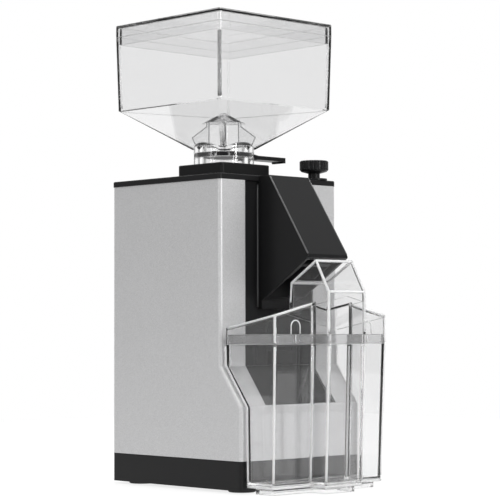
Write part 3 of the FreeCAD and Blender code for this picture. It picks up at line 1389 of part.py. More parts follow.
def make_container_lid():
    eave_back = f"({SEAM} + eave_back_rise)"
    eave_front = f"({SEAM} + eave_front_rise)"
    apex = f"({SEAM} + apex_rise)"
    nose = f"{FRONT} + lobe_reach"
    tower = polygon(
        (f"-({FRONT} + tower_back_reach)", RIM_TOP), (f"-({FRONT} + eave_back_reach)", eave_back),
        (f"-({FRONT} + apex_reach)", apex), (f"-({nose})", eave_front), (f"-({nose})", RIM_TOP),
    )
    slant = "tower_wall * sqrt(1 + ((lobe_reach - apex_reach) / (apex_rise - eave_front_rise)) ^ 2)"
    low = f"{SKIRT_BOTTOM} - rim_height"
    above = f"{apex} + roof_margin"
    room = polygon(
        (f"-({FRONT} + tower_back_reach + tower_wall)", low),
        (f"-({FRONT} + eave_back_reach + tower_wall)", eave_back),
        (f"-({FRONT} + eave_back_reach + tower_wall)", above),
        (f"-({FRONT} + apex_reach - {slant})", above),
        (f"-({FRONT} + apex_reach - {slant})", apex),
        (f"-({nose} - {slant})", eave_front),
        (f"-({nose} - {slant})", low),
    )
    outside = lid_form("lid_outside", "0", "0", tower)
    inside = lid_form("lid_inside", "skirt_wall_lid", "roof_thickness", room)
    return hollow("container_lid", outside, inside)


make_base_tray()
make_rubber_feet()
make_base_screws()
make_body_shell()
make_front_panel()
make_top_cover()
make_hopper_block()
make_hopper_screw()
make_spout_cover()
make_grounds_chute()
make_chute_flap()
make_deck_plate()
make_deck_screws()
make_grinding_chamber()
make_upper_burr_carrier()
make_burr("upper_burr", z=UPPER_BURR_TOP, turn="180", axis=ALONG_X)
make_burr_screws("upper_burr_screws", f"{UPPER_BURR_FACE} + burr_groove")
make_lower_burr_carrier()
make_burr("lower_burr", z=CARRIER_TOP)
make_burr_screws("lower_burr_screws", f"{LOWER_BURR_FACE} - burr_groove", turn="180", axis=ALONG_X)
make_motor_shaft()
make_rotor_core()
make_stator_core()
make_stator_windings()
make_upper_motor_bracket()
make_lower_motor_bracket()
make_motor_pillars()
bearing(
    "lower_bearing", "(shaft_foot_radius + run_gap)", "(low_bearing_radius - run_gap)", LOW_BRACKET_BOTTOM
)
bearing(
    "upper_bearing", "(shaft_radius + run_gap)", "(top_bearing_radius - run_gap)",
    f"({DECK_TOP} - bearing_sink - bearing_width)",
)
make_cooling_fan()
make_bearing_sleeve()
make_adjust_lever()
make_lever_nut()
make_lever_bracket()
make_lever_pin()
make_adjust_knob()
make_adjust_spindle()
make_dial_plate()
make_start_button()
make_start_switch()
make_switch_housing()
make_power_rocker()
make_timer_dial()
make_timer_pot()
make_control_board()
make_run_capacitor()
make_cable_gland()
make_hopper_bowl()
make_gate_slide()
make_hopper_lid()
make_finger_guard()
make_container_tub()
make_container_lid()
doc.recompute()

# Nothing is written unless every object is sound and every cut took something away.
for item in doc.Objects:
    if "Invalid" in item.State or "Error" in item.State:
        raise RuntimeError(f"{item.Label} is {item.State}")
for feature in cuts:
    before = feature.BaseFeature.Shape.Volume
    if feature.Shape.Volume > before - Part.Precision.confusion():
        raise RuntimeError(f"{feature.Label} cuts nothing")
for label, part in subparts.items():
    if part.Shape.isNull() or not part.Shape.isValid():
        raise RuntimeError(f"{label} has no valid shape")

os.makedirs("parts", exist_ok=True)
for label, part in subparts.items():
    part.Shape.exportStep(os.path.join("parts", f"{label}.step"))
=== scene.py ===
import json
import math

import bmesh
import bpy
import numpy as np
from mathutils import Matrix, Vector


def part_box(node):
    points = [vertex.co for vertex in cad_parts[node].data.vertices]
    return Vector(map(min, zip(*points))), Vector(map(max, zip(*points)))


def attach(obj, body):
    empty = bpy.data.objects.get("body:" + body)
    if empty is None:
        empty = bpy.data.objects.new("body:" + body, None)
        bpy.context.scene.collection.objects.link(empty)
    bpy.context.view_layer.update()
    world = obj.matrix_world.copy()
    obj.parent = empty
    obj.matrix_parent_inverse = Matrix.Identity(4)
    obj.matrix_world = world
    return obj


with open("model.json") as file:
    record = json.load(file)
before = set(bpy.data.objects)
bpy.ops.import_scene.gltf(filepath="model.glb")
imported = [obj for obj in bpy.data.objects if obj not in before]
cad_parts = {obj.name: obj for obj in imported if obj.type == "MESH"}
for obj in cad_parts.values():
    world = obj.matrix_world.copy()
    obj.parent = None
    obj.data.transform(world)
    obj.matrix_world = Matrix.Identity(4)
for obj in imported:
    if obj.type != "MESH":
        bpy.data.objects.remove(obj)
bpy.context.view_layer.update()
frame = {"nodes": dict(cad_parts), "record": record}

MM = 0.001
TAU = 2 * math.pi
SIDEWAYS = (1, 0, 0)
FORWARD = (0, 1, 0)
UPWARD = (0, 0, 1)

# Camera: where it stands, what it looks at, its roll and its lens for a 36 mm wide sensor.
EYE = (-970.93 * MM, -1014.88 * MM, 118.09 * MM)
AIM = (-6.18 * MM, -2.01 * MM, 175.99 * MM)
ROLL = math.radians(-0.147)
LENS = 134.6
SENSOR = 36.0

# World: its grey at places from straight behind the camera, 0, to straight ahead of it, 1.
WORLD_RINGS = (
    (0.0, 0.45), (0.3, 0.4), (0.7, 0.4), (0.77, 1.2), (0.86, 1.2), (0.91, 0.35), (0.94, 0.35),
    (0.975, 1.0), (1.0, 1.0),
)
# Lights: name, place, width and height in metres, and power in watts. All look at one point.
LIGHTS = (
    ("top light", (0, 0, 1.8), (1.8, 1.8), 36),
    ("front light", (-1.6, -1.7, 1.7), (1.0, 1.0), 5),
    ("right strip", (0.15, -2.0, 0.6), (0.3, 1.4), 19),
    ("left strip", (-2.0, 0.1, 0.6), (0.3, 1.4), 6),
)
LIT_POINT = (0, 0, 0.18)
# Floor: half its side in metres, its grey, the light that keeps it white, and its roughness.
FLOOR_HALF = 0.9
FLOOR_GREY = 0.16
FLOOR_GLOW = 0.8
FLOOR_ROUGHNESS = 0.9

# Materials: the noises' middle and detail, the depth of the reliefs, the cosines between softened
# and true normal where an edge starts and is full, and the share of light in a clear shadow.
NOISE_MIDDLE = 0.5
GRAIN_DETAIL = 2.0
PATCH_DETAIL = 3.0
STREAK_DETAIL = 1.5
GRAIN_REACH = 0.1 * MM
FLAKE_REACH = 0.03 * MM
STREAK_REACH = 2.0 * MM
EDGE_SAMPLES = 4
EDGE_START = 0.998
EDGE_FULL = 0.9
SHADOW_LET_THROUGH = 0.9

# Beads: points round them, and the distance in metres within which points are joined.
BEAD_SIDES = 12
JOIN_WITHIN = 1e-8
# Where the trim sits, in millimetres: the container's wings, roof, tower and upright edges,
WING_FRONT = -80.75
WING_SIDE = 57.5
ROOF_REAR = 117.5
ROOF_BACK = -29.25
ROOF_PITCH = math.tan(math.radians(10.5))
ROOF_CROSS = 12.96 / WING_SIDE
ROOF_START = -32.0
TOWER_HALF = 19.0
TOWER_FOOT = 20.5
TOWER_SIDE = ((-57.2, 136.0), (-58.6, 150.0), (-83.25, 165.2), (-95.3, 143.2), (-95.3, 114.5))
WING_CORNER = ((55.2, -76.6, 9.0), (56.7, -79.9, 104.5))
LOBE_CORNER = ((18.2, -92.1, 9.0), (18.2, -95.3, 104.5))
NOTCH_CORNER = ((18.2, -76.6, 9.0), (18.2, -79.9, 104.5))
REAR_CORNER = (
    (55.5, -51.4, 9.0), (56.1, -51.4, 61.2), (56.6, -30.1, 90.6), (56.8, -30.0, 104.5),
)
SKIRT_FOOT = 107.0
EDGE_INSET = 0.8
EDGE_RADIUS = 0.9
# its foot and the gap where its lid laps the rim, each as half widths of wings and lobe, rear,
# front of the wings and front of the lobe, then heights,
FOOT_PLAN = (55.2, 18.2, -51.4, -76.5, -92.0)
FOOT_HEIGHT = 5.3
LAP_PLAN = (56.12, 17.62, -30.63, -79.37, -94.87)
LAP_MIDDLE = 109.5
LAP_HALF = 3.4
LAP_FLATNESS = 0.018
# the snap latches on the lid,
LATCH_X = 37.0
LATCH_HALF = 4.5
LATCH_FOOT = 113.5
LATCH_SPRING = 118.5
LATCH_RADIUS = 0.5
TONGUE_LOW = 107.6
TONGUE_HIGH = 112.6
# the hopper's inside corners, as insets from its rim and heights,
CORNER_FOOT = (4.4, 286.0)
CORNER_HEAD = (3.2, 334.0)
CORNER_RADIUS = 0.9
# the finger guard's fins and posts, as distances from its axis and heights,
GUARD_FIN = ((20.0, 257.0), (23.6, 264.1), (12.5, 271.8), (12.5, 274.6))
GUARD_POST = ((10.7, 257.0), (10.7, 275.2))
GUARD_RADIUS = 0.4
# the start button's frame and the edges of the spout cover,
PANEL_FACE = -25.25
BUTTON_Z = 96.0
FRAME_HALF = (12.2, 7.2)
FRAME_BEND = 2.0
FRAME_RADIUS = 0.7
SPOUT_TOP = (-38.0, 228.4)
SPOUT_NOSE = (-76.6, 170.8)
RIB_INSET = 0.5
RIB_RADIUS = 0.6
JOINT_RADIUS = 0.8
JOINT_ENDS = (1.5, 2.5)
# and the marks of the grind knob and the timer dial: centres, then inner and outer radii, with
# the first and last angle in degrees and the number of marks, and the angle of the pointer.
KNOB = (46.5, -17.75)
KNOB_SCALE = (12.6, 15.0)
KNOB_MARKS = (45, 205, 9)
KNOB_POINTER = (5.5, 10.2)
KNOB_POINTS_TO = 125
TIMER = (38.25, 100.0)
TIMER_SCALE = (14.0, 16.6)
TIMER_MARKS = (-45, 225, 10)
TIMER_POINTER = (6.5, 10.8)
TIMER_POINTS_TO = 180
MARK_RADIUS = 0.3


def new_group(name, inputs, outputs):
    """An empty shader node group with named value inputs and named outputs."""
    group = bpy.data.node_groups.new(name, "ShaderNodeTree")
    for label, default in inputs:
        socket = group.interface.new_socket(label, in_out="INPUT", socket_type="NodeSocketFloat")
        socket.default_value = default
    for label, kind in outputs:
        group.interface.new_socket(label, in_out="OUTPUT", socket_type=kind)
    start = group.nodes.new("NodeGroupInput")
    end = group.nodes.new("NodeGroupOutput")
    return group, start, end


def about(group, source, spread, middle):
    """A Math chain in a group: middle + spread * (source - NOISE_MIDDLE); spread is a socket."""
    centred = group.nodes.new("ShaderNodeMath")
    centred.operation = "SUBTRACT"
    centred.inputs[1].default_value = NOISE_MIDDLE
    group.links.new(source, centred.inputs[0])
    scaled = group.nodes.new("ShaderNodeMath")
    scaled.operation = "MULTIPLY_ADD"
    group.links.new(centred.outputs[0], scaled.inputs[0])
    group.links.new(spread, scaled.inputs[1])
    if isinstance(middle, float):
        scaled.inputs[2].default_value = middle
    else:
        group.links.new(middle, scaled.inputs[2])
    return scaled.outputs[0]


def make_grain():
    """Fine moulded or cast grain with the soft patches that handling leaves.

    Two noises on Object coordinates: the fine one is the Height and, spread about 1, the Shade;
    the coarse one spreads the Roughness about its base.
    """
    group, start, end = new_group(
        "surface_grain",
        [("Grain Scale", 2500.0), ("Patch Scale", 30.0), ("Roughness", 0.4),
         ("Roughness Spread", 0.08), ("Shade Spread", 0.05)],
        [("Height", "NodeSocketFloat"), ("Shade", "NodeSocketFloat"),
         ("Roughness", "NodeSocketFloat")],
    )
    place = group.nodes.new("ShaderNodeTexCoord")
    noises = {}
    for label, detail in (("Grain Scale", GRAIN_DETAIL), ("Patch Scale", PATCH_DETAIL)):
        noise = group.nodes.new("ShaderNodeTexNoise")
        noise.inputs["Detail"].default_value = detail
        group.links.new(place.outputs["Object"], noise.inputs["Vector"])
        group.links.new(start.outputs[label], noise.inputs["Scale"])
        noises[label] = noise.outputs["Fac"]
    shade = about(group, noises["Grain Scale"], start.outputs["Shade Spread"], 1.0)
    base, spread = start.outputs["Roughness"], start.outputs["Roughness Spread"]
    rough = about(group, noises["Patch Scale"], spread, base)
    group.links.new(noises["Grain Scale"], end.inputs["Height"])
    group.links.new(shade, end.inputs["Shade"])
    group.links.new(rough, end.inputs["Roughness"])
    return group


def make_flake():
    """Metal flakes in paint: each small Voronoi cell has its own brightness and height."""
    group, start, end = new_group(
        "metal_flake",
        [("Flake Scale", 3600.0), ("Flake Spread", 0.3)],
        [("Height", "NodeSocketFloat"), ("Shade", "NodeSocketFloat")],
    )
    place = group.nodes.new("ShaderNodeTexCoord")
    cells = group.nodes.new("ShaderNodeTexVoronoi")
    group.links.new(place.outputs["Object"], cells.inputs["Vector"])
    group.links.new(start.outputs["Flake Scale"], cells.inputs["Scale"])
    split = group.nodes.new("ShaderNodeSeparateColor")
    group.links.new(cells.outputs["Color"], split.inputs["Color"])
    group.links.new(split.outputs["Red"], end.inputs["Height"])
    shade = about(group, split.outputs["Green"], start.outputs["Flake Spread"], 1.0)
    group.links.new(shade, end.inputs["Shade"])
    return group


def make_flow():
    """Flow lines of a clear moulding: noise stretched upright, so that it runs in faint streaks."""
    group, start, end = new_group(
        "moulding_flow",
        [("Streak Scale", 90.0), ("Streak Stretch", 0.12)],
        [("Height", "NodeSocketFloat")],
    )
    place = group.nodes.new("ShaderNodeTexCoord")
    squeeze = group.nodes.new("ShaderNodeCombineXYZ")
    for axis in ("X", "Y"):
        squeeze.inputs[axis].default_value = 1.0
    group.links.new(start.outputs["Streak Stretch"], squeeze.inputs["Z"])
    stretched = group.nodes.new("ShaderNodeVectorMath")
    stretched.operation = "MULTIPLY"
    group.links.new(place.outputs["Object"], stretched.inputs[0])
    group.links.new(squeeze.outputs["Vector"], stretched.inputs[1])
    noise = group.nodes.new("ShaderNodeTexNoise")
    noise.inputs["Detail"].default_value = STREAK_DETAIL
    group.links.new(stretched.outputs["Vector"], noise.inputs["Vector"])
    group.links.new(start.outputs["Streak Scale"], noise.inputs["Scale"])
    group.links.new(noise.outputs["Fac"], end.inputs["Height"])
    return group


GRAIN = make_grain()
FLAKE = make_flake()
FLOW = make_flow()


def put(nodes, group, **values):
    """One use of a shared group in a material, with its own values."""
    use = nodes.new("ShaderNodeGroup")
    use.node_tree = group
    for label, value in values.items():
        use.inputs[label.replace("_", " ")].default_value = value
    return use


def relief(material, height, strength, reach, under=None):
    """A Bump node on a height; under is the normal that it stands on."""
    bump = material.node_tree.nodes.new("ShaderNodeBump")
    bump.inputs["Strength"].default_value = strength
    bump.inputs["Distance"].default_value = reach
    material.node_tree.links.new(height, bump.inputs["Height"])
    if under is not None:
        material.node_tree.links.new(under, bump.inputs["Normal"])
    return bump.outputs["Normal"]


def edge_mask(material, normal):
    """A mask that is 0 on the flat and 1 where the softened normal turns well off the true one."""
    nodes, links = material.node_tree.nodes, material.node_tree.links
    true = nodes.new("ShaderNodeNewGeometry")
    agree = nodes.new("ShaderNodeVectorMath")
    agree.operation = "DOT_PRODUCT"
    links.new(normal, agree.inputs[0])
    links.new(true.outputs["Normal"], agree.inputs[1])
    fall = nodes.new("ShaderNodeMapRange")
    fall.inputs["From Min"].default_value = EDGE_START
    fall.inputs["From Max"].default_value = EDGE_FULL
    links.new(agree.outputs["Value"], fall.inputs["Value"])
    return fall.outputs["Result"]


def times(material, one, other):
    """The product of two tones."""
    both = material.node_tree.nodes.new("ShaderNodeMath")
    both.operation = "MULTIPLY"
    material.node_tree.links.new(one, both.inputs[0])
    material.node_tree.links.new(other, both.inputs[1])
    return both.outputs[0]


def let_light_through(material, share):
    """Lowers the Alpha for shadow rays only, so that a clear piece casts a weak shadow."""
    nodes, links = material.node_tree.nodes, material.node_tree.links
    ray = nodes.new("ShaderNodeLightPath")
    solid = nodes.new("ShaderNodeMath")
    solid.operation = "MULTIPLY_ADD"
    solid.inputs[1].default_value = -share
    solid.inputs[2].default_value = 1.0
    links.new(ray.outputs["Is Shadow Ray"], solid.inputs[0])
    links.new(solid.outputs[0], nodes["Principled BSDF"].inputs["Alpha"])


def finish_of(name, colour, rough, spread=0.08, grain=2500.0, patch=30.0, shade=0.05, depth=0.02,
              edge=0.0, worn=0.0, painted_edge_glow=0.0, flake=0.0, flow=0.0, **plain):
    """A material: a Principled shader whose colour, roughness and normal vary with shared groups.

    rough varies by spread in patches, and the colour by shade in the grain, whose relief has the
    strength depth. edge is the radius in metres that sharp edges seem rounded by, worn how much
    rougher they are, painted_edge_glow the strength of a painted glow on them, a painted highlight
    by emission on the edges of a clear moulding though they are no lamp, flake the spread of a
    metal flake's brightness, flow the strength of a clear moulding's streaks, and plain holds
    uniform values.
    """
    material = bpy.data.materials.new(name)
    material.use_nodes = True
    nodes, links = material.node_tree.nodes, material.node_tree.links
    shader = nodes["Principled BSDF"]
    surface = put(
        nodes, GRAIN, Grain_Scale=grain, Patch_Scale=patch, Roughness=rough,
        Roughness_Spread=spread, Shade_Spread=shade,
    )
    tone = surface.outputs["Shade"]
    normal = None
    if edge:
        soft = nodes.new("ShaderNodeBevel")
        soft.samples = EDGE_SAMPLES
        soft.inputs["Radius"].default_value = edge
        normal = soft.outputs["Normal"]
    gloss = surface.outputs["Roughness"]
    if worn:
        dull = nodes.new("ShaderNodeMath")
        dull.operation = "MULTIPLY_ADD"
        dull.inputs[1].default_value = worn
        edges = edge_mask(material, normal)
        links.new(edges, dull.inputs[0])
        links.new(gloss, dull.inputs[2])
        gloss = dull.outputs[0]
        # Painted highlight: the edges glow by emission, though they are no lamp.
        if painted_edge_glow:
            links.new(edges, shader.inputs["Emission Color"])
            shader.inputs["Emission Strength"].default_value = painted_edge_glow
    if flake:
        paint = put(nodes, FLAKE, Flake_Spread=flake)
        tone = times(material, tone, paint.outputs["Shade"])
        normal = relief(material, paint.outputs["Height"], flake, FLAKE_REACH, normal)
    if flow:
        streaks = put(nodes, FLOW)
        normal = relief(material, streaks.outputs["Height"], flow, STREAK_REACH, normal)
    normal = relief(material, surface.outputs["Height"], depth, GRAIN_REACH, normal)
    tint = nodes.new("ShaderNodeVectorMath")
    tint.operation = "SCALE"
    tint.inputs[0].default_value = colour
    links.new(tone, tint.inputs["Scale"])
    links.new(tint.outputs["Vector"], shader.inputs["Base Color"])
    links.new(gloss, shader.inputs["Roughness"])
    links.new(normal, shader.inputs["Normal"])
    for socket, value in plain.items():
        shader.inputs[socket.replace("_", " ")].default_value = value
    return material


FINISHES = {
    "silver_paint": finish_of(
        "silver paint", (0.54, 0.54, 0.545), 0.42, grain=700.0, shade=0.03, depth=0.03,
        edge=0.6 * MM, flake=0.32, Metallic=0.4,
    ),
    "dark_plastic": finish_of(
        "dark plastic", (0.009, 0.009, 0.0095), 0.34, grain=2600.0, shade=0.25, depth=0.12,
        edge=0.8 * MM, Specular_IOR_Level=0.18,
    ),
    # Clear plastic: its edges carry a painted glow by emission, a painted highlight.
    "clear_plastic": finish_of(
        "clear plastic", (0.935, 0.935, 0.937), 0.015, spread=0.02, grain=900.0, patch=60.0,
        shade=0.004, depth=0.003, edge=0.7 * MM, worn=0.4, painted_edge_glow=0.08, flow=0.006,
        Transmission_Weight=1.0, IOR=1.49,
    ),
    "black_rubber": finish_of("black rubber", (0.02, 0.02, 0.02), 0.75, shade=0.3, depth=0.3),
    "burr_steel": finish_of(
        "burr steel", (0.5, 0.5, 0.52), 0.3, grain=5000.0, shade=0.1, depth=0.1, edge=0.2 * MM,
        Metallic=1.0,
    ),
    "bright_steel": finish_of(
        "bright steel", (0.62, 0.62, 0.64), 0.25, shade=0.06, depth=0.05, edge=0.2 * MM,
        Metallic=1.0,
    ),
    "cast_aluminium": finish_of(
        "cast aluminium", (0.6, 0.6, 0.61), 0.5, grain=1500.0, shade=0.15, depth=0.4,
        edge=0.4 * MM, Metallic=1.0,
    ),
    "motor_iron": finish_of(
        "motor iron", (0.2, 0.2, 0.21), 0.55, shade=0.2, depth=0.3, Metallic=0.8,
    ),
    "copper_wire": finish_of(
        "copper wire", (0.6, 0.28, 0.12), 0.35, grain=1200.0, shade=0.3, depth=0.6, Metallic=1.0,
    ),
    "brass": finish_of("brass", (0.7, 0.55, 0.25), 0.3, shade=0.08, depth=0.05, Metallic=1.0),
    "board_green": finish_of("board green", (0.04, 0.18, 0.08), 0.4, shade=0.15, depth=0.1),
    "pale_plastic": finish_of("pale plastic", (0.75, 0.75, 0.74), 0.45, shade=0.05, depth=0.1),
}
let_light_through(FINISHES["clear_plastic"], SHADOW_LET_THROUGH)
# Painted shade: clear plastic tinted dark, so that beads in a corner or on the guard show as dark
# lines.
PAINTED_SHADE = finish_of(
    "clear plastic darkened as painted shade", (0.4, 0.4, 0.402), 0.05, spread=0.03, grain=900.0,
    patch=60.0, shade=0.02, depth=0.003, Transmission_Weight=1.0, IOR=1.2,
)
# Painted highlight: clear plastic made half diffuse white, so that beads on edges show as light
# lines.
PAINTED_HIGHLIGHT = finish_of(
    "clear plastic whitened as a painted highlight", (0.97, 0.97, 0.972), 0.3, spread=0.1, grain=900.0,
    patch=80.0, shade=0.02, depth=0.01, Transmission_Weight=0.5, IOR=1.49,
)
# Painted light: clear plastic with a faint diffuse white part, for lighter lines in three hopper
# corners and a lighter band where the lid laps.
PAINTED_LIGHT_HAZE = finish_of(
    "clear plastic faintly whitened as painted light", (0.97, 0.97, 0.972), 0.1, spread=0.06, grain=900.0,
    patch=80.0, shade=0.02, depth=0.01, Transmission_Weight=0.91, IOR=1.2,
)
# Painted highlight: dark plastic with a lighter base colour and more specular, so that beads on
# edges show as light lines.
PAINTED_SHEEN = finish_of(
    "dark plastic lightened as a painted highlight", (0.06, 0.06, 0.062), 0.3, spread=0.12, grain=2600.0,
    patch=120.0, shade=0.3, depth=0.05, Specular_IOR_Level=0.8,
)
PRINT = finish_of("pale print", (0.7, 0.7, 0.69), 0.5, shade=0.12, depth=0.05)

for entry in frame["record"]["subparts"]:
    node = frame["nodes"][entry["node"]]
    node.data.materials.clear()
    node.data.materials.append(FINISHES[entry["material_slot"]])


def bead(name, paths, up, radius, material, closed=False, flat=1.0):
    """Round beads along paths, each of which lies in a plane that up is square to.

    P(i, a) = path(i) + radius * w(i) * (cos a * up + flat * sin a * (tangent(i) x up)), with a
    going once round. w is 1, and falls to 0 at the two ends of an open path, so that they are
    closed. A small flat gives a ribbon.
    """
    up = np.asarray(up, dtype=float)
    angle = np.linspace(0, TAU, BEAD_SIDES, endpoint=False)[None, :, None]
    points, faces, start = [], [], 0
    for path in paths:
        swell = np.ones(len(path))
        if closed:
            tangent = np.roll(path, -1, axis=0) - np.roll(path, 1, axis=0)
        else:
            tangent = np.gradient(path, axis=0)
            path, tangent = (np.concatenate([row[:1], row, row[-1:]]) for row in (path, tangent))
            swell = np.pad(swell, 1)
        side = np.cross(tangent / np.linalg.norm(tangent, axis=1, keepdims=True), up)
        ring = np.cos(angle) * up + flat * np.sin(angle) * side[:, None, :]
        points.append((path[:, None, :] + radius * swell[:, None, None] * ring).reshape(-1, 3))
        here = start + np.arange(len(path) * BEAD_SIDES).reshape(len(path), BEAD_SIDES)
        onward = np.roll(here, -1, axis=0)
        corners = [here, np.roll(here, -1, axis=1), np.roll(onward, -1, axis=1), onward]
        quads = np.stack(corners, axis=-1)
        faces.append((quads if closed else quads[:-1]).reshape(-1, 4))
        start += here.size
    return closed_mesh(name, np.concatenate(points), np.concatenate(faces), material)


def closed_mesh(name, points, faces, material):
    """A smooth mesh piece from points in millimetres, with doubles joined and faces outward."""
    mesh = bpy.data.meshes.new(name)
    mesh.from_pydata((points * MM).tolist(), [], faces.tolist())
    form = bmesh.new()
    form.from_mesh(mesh)
    bmesh.ops.remove_doubles(form, verts=form.verts, dist=JOIN_WITHIN)
    bmesh.ops.recalc_face_normals(form, faces=form.faces)
    form.to_mesh(mesh)
    form.free()
    mesh.polygons.foreach_set("use_smooth", np.ones(len(mesh.polygons), dtype=bool))
    mesh.materials.append(material)
    made = bpy.data.objects.new(name, mesh)
    bpy.context.collection.objects.link(made)
    return made


def run(*stops, steps=8):
    """Points along straight runs from stop to stop."""
    stops = np.asarray(stops, dtype=float)
    legs = [np.linspace(a, b, steps, endpoint=False) for a, b in zip(stops[:-1], stops[1:])]
    return np.concatenate([*legs, stops[-1:]])


def on_front(x, y, z):
    """Points of X and Z put on a plane that faces the front."""
    return np.stack([x, np.full(len(x), y), z], axis=-1)


def arch(centre, steps=24):
    """A latch's outline: two straight legs up to the spring line, and a half circle over them."""
    turn = np.linspace(math.pi, 0, steps)
    x = centre + LATCH_HALF * np.concatenate([[-1], np.cos(turn), [1]])
    z = np.concatenate([[LATCH_FOOT], LATCH_SPRING + LATCH_HALF * np.sin(turn), [LATCH_FOOT]])
    return on_front(x, WING_FRONT, z)


def rounded_loop(half_x, half_z, bend, y, middle, steps=9):
    """A rectangle with round corners, each a quarter circle of the bend about its own centre."""
    turn = np.linspace(0, TAU / 4, steps) + np.arange(4)[:, None] * TAU / 4
    x = np.array([1, -1, -1, 1])[:, None] * (half_x - bend) + bend * np.cos(turn)
    z = np.array([1, 1, -1, -1])[:, None] * (half_z - bend) + bend * np.sin(turn)
    return on_front(x.ravel(), y, middle + z.ravel())


def marks(centre, radii, angles, across, along):
    """Short straight runs away from a centre, between two radii, one for each angle in degrees."""
    centre, across, along = np.asarray(centre), np.asarray(across), np.asarray(along)
    outward = [math.cos(turn) * across + math.sin(turn) * along for turn in np.radians(angles)]
    return [run(*(centre + radius * way for radius in radii), steps=3) for way in outward]


def roof_height(x, y):
    """The height of a bead on the container lid's roof, which rises to the front and the middle."""
    rise = ROOF_PITCH * (ROOF_BACK - y) + ROOF_CROSS * (WING_SIDE - abs(x))
    return ROOF_REAR + rise - EDGE_INSET


def both_sides(stops):
    """A run and its mirror image in the middle plane."""
    path = run(*stops)
    return [path, path * (-1, 1, 1)]


def around_plan(half, lobe, rear, wing, nose, height):
    """A level closed path round the container: two wings beside a lobe that stands forward."""
    right = [(lobe, nose), (lobe, wing), (half, wing), (half, rear)]
    corners = right + [(-x, y) for x, y in reversed(right)]
    return run(*((x, y, height) for x, y in (*corners, corners[0])))[:-1]


def trim(name, body, slot, paths, up, radius, material, **form):
    """Adds a bead piece that rides on a body; slot, the slot of its finish, is not used."""
    made = bead(name, paths, up, radius, material, **form)
    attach(made, body)


def add_container_edges():
    """Rounded beads along the edges of the clear container and of its lid, whitened as painted
    highlights, and a faintly whitened sheet where its lid laps, painted as a lighter band.
    """
    place = ("container", "clear_plastic")
    corners = (WING_CORNER, LOBE_CORNER, NOTCH_CORNER, REAR_CORNER)
    upright = [path for corner in corners for path in both_sides(corner)]
    trim("tub_edges", *place, upright, SIDEWAYS, EDGE_RADIUS, PAINTED_HIGHLIGHT)
    foot = around_plan(*FOOT_PLAN, FOOT_HEIGHT)
    trim("tub_foot", *place, [foot], UPWARD, EDGE_RADIUS, PAINTED_HIGHLIGHT, closed=True)
    lap = around_plan(*LAP_PLAN, LAP_MIDDLE)
    trim("lid_lap", *place, [lap], UPWARD, LAP_HALF, PAINTED_LIGHT_HAZE, closed=True, flat=LAP_FLATNESS)
    x, y, tower = WING_SIDE - EDGE_INSET, WING_FRONT + EDGE_INSET, TOWER_HALF - EDGE_INSET
    outlines = [
        *both_sides([(x, y, SKIRT_FOOT), (x, y, roof_height(x, y))]),
        *both_sides([(x, at, roof_height(x, at)) for at in (ROOF_START, y)]),
        *both_sides([(tower, *at) for at in TOWER_SIDE]),
    ]
    trim("lid_edges", *place, outlines, SIDEWAYS, EDGE_RADIUS, PAINTED_HIGHLIGHT)
    level = both_sides([(at, y, roof_height(at, y)) for at in (x, TOWER_FOOT)])
    level += [run((-tower, *at), (tower, *at)) for at in TOWER_SIDE[1:4]]
    trim("lid_eaves", *place, level, FORWARD, EDGE_RADIUS, PAINTED_HIGHLIGHT)


def add_latches():
    """On each wing of the container's lid, an arched snap latch with a tongue below it, both
    whitened as painted highlights.
    """
    tongues = both_sides([(LATCH_X, WING_FRONT, z) for z in (TONGUE_LOW, TONGUE_HIGH)])
    paths = [arch(-LATCH_X), arch(LATCH_X), *tongues]
    trim("lid_latches", "container", "clear_plastic", paths, FORWARD, LATCH_RADIUS, PAINTED_HIGHLIGHT)


def add_button_frame():
    """A raised frame round the start button."""
    loop = rounded_loop(*FRAME_HALF, FRAME_BEND, PANEL_FACE, BUTTON_Z)
    dark = FINISHES["dark_plastic"]
    trim(
        "button_frame", "housing", "dark_plastic", [loop], FORWARD, FRAME_RADIUS, dark, closed=True,
    )


def add_hopper_corners():
    """A rounded fillet up each inside corner of the hopper: the front left one darkened as a
    painted shade line, the other three faintly whitened as painted lighter lines.
    """
    low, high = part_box("hopper_bowl")
    middle = (low.y + high.y) / 2 / MM
    half = (high.x - low.x) / 2 / MM
    fillets = []
    for front in (-1, 1):
        fillets += both_sides([
            (half - inset, middle + front * (half - inset), z)
            for inset, z in (CORNER_FOOT, CORNER_HEAD)
        ])
    front_left = fillets.pop(1)
    place = ("housing", "clear_plastic")
    trim("hopper_corners", *place, fillets, SIDEWAYS, CORNER_RADIUS, PAINTED_LIGHT_HAZE)
    trim("hopper_front_corner", *place, [front_left], SIDEWAYS, CORNER_RADIUS, PAINTED_SHADE)


def add_guard_edges():
    """Fine beads along the finger guard's fins and posts, which stand on the hopper's diagonals,
    darkened as painted shade lines.
    """
    low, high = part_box("finger_guard")
    middle = (0, (low.y + high.y) / 2 / MM, 0)
    for name, slant in (("guard_edges", -1), ("guard_cross_edges", 1)):
        outward = np.array([1, slant, 0]) / math.sqrt(2)
        square = np.array([1, -slant, 0]) / math.sqrt(2)
        paths = [
            run(*(middle + side * reach * outward + (0, 0, z) for reach, z in outline))
            for outline in (GUARD_FIN, GUARD_POST) for side in (-1, 1)
        ]
        trim(name, "housing", "clear_plastic", paths, square, GUARD_RADIUS, PAINTED_SHADE)


def add_spout_edges():
    """A bead down each side of the spout cover at the front panel, and one on each slanted edge,
    lightened and glossier as painted highlight lines.
    """
    low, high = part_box("spout_cover")
    foot = low.z / MM + JOINT_ENDS[0]
    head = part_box("body_shell")[1].z / MM - JOINT_ENDS[1]
    side = high.x / MM
    place = ("housing", "dark_plastic")
    joints = both_sides([(side, PANEL_FACE, foot), (side, PANEL_FACE, head)])
    trim("spout_joints", *place, joints, FORWARD, JOINT_RADIUS, PAINTED_SHEEN)
    slants = both_sides([(side - RIB_INSET, *SPOUT_TOP), (side - RIB_INSET, *SPOUT_NOSE)])
    trim("spout_slants", *place, slants, SIDEWAYS, RIB_RADIUS, PAINTED_SHEEN)


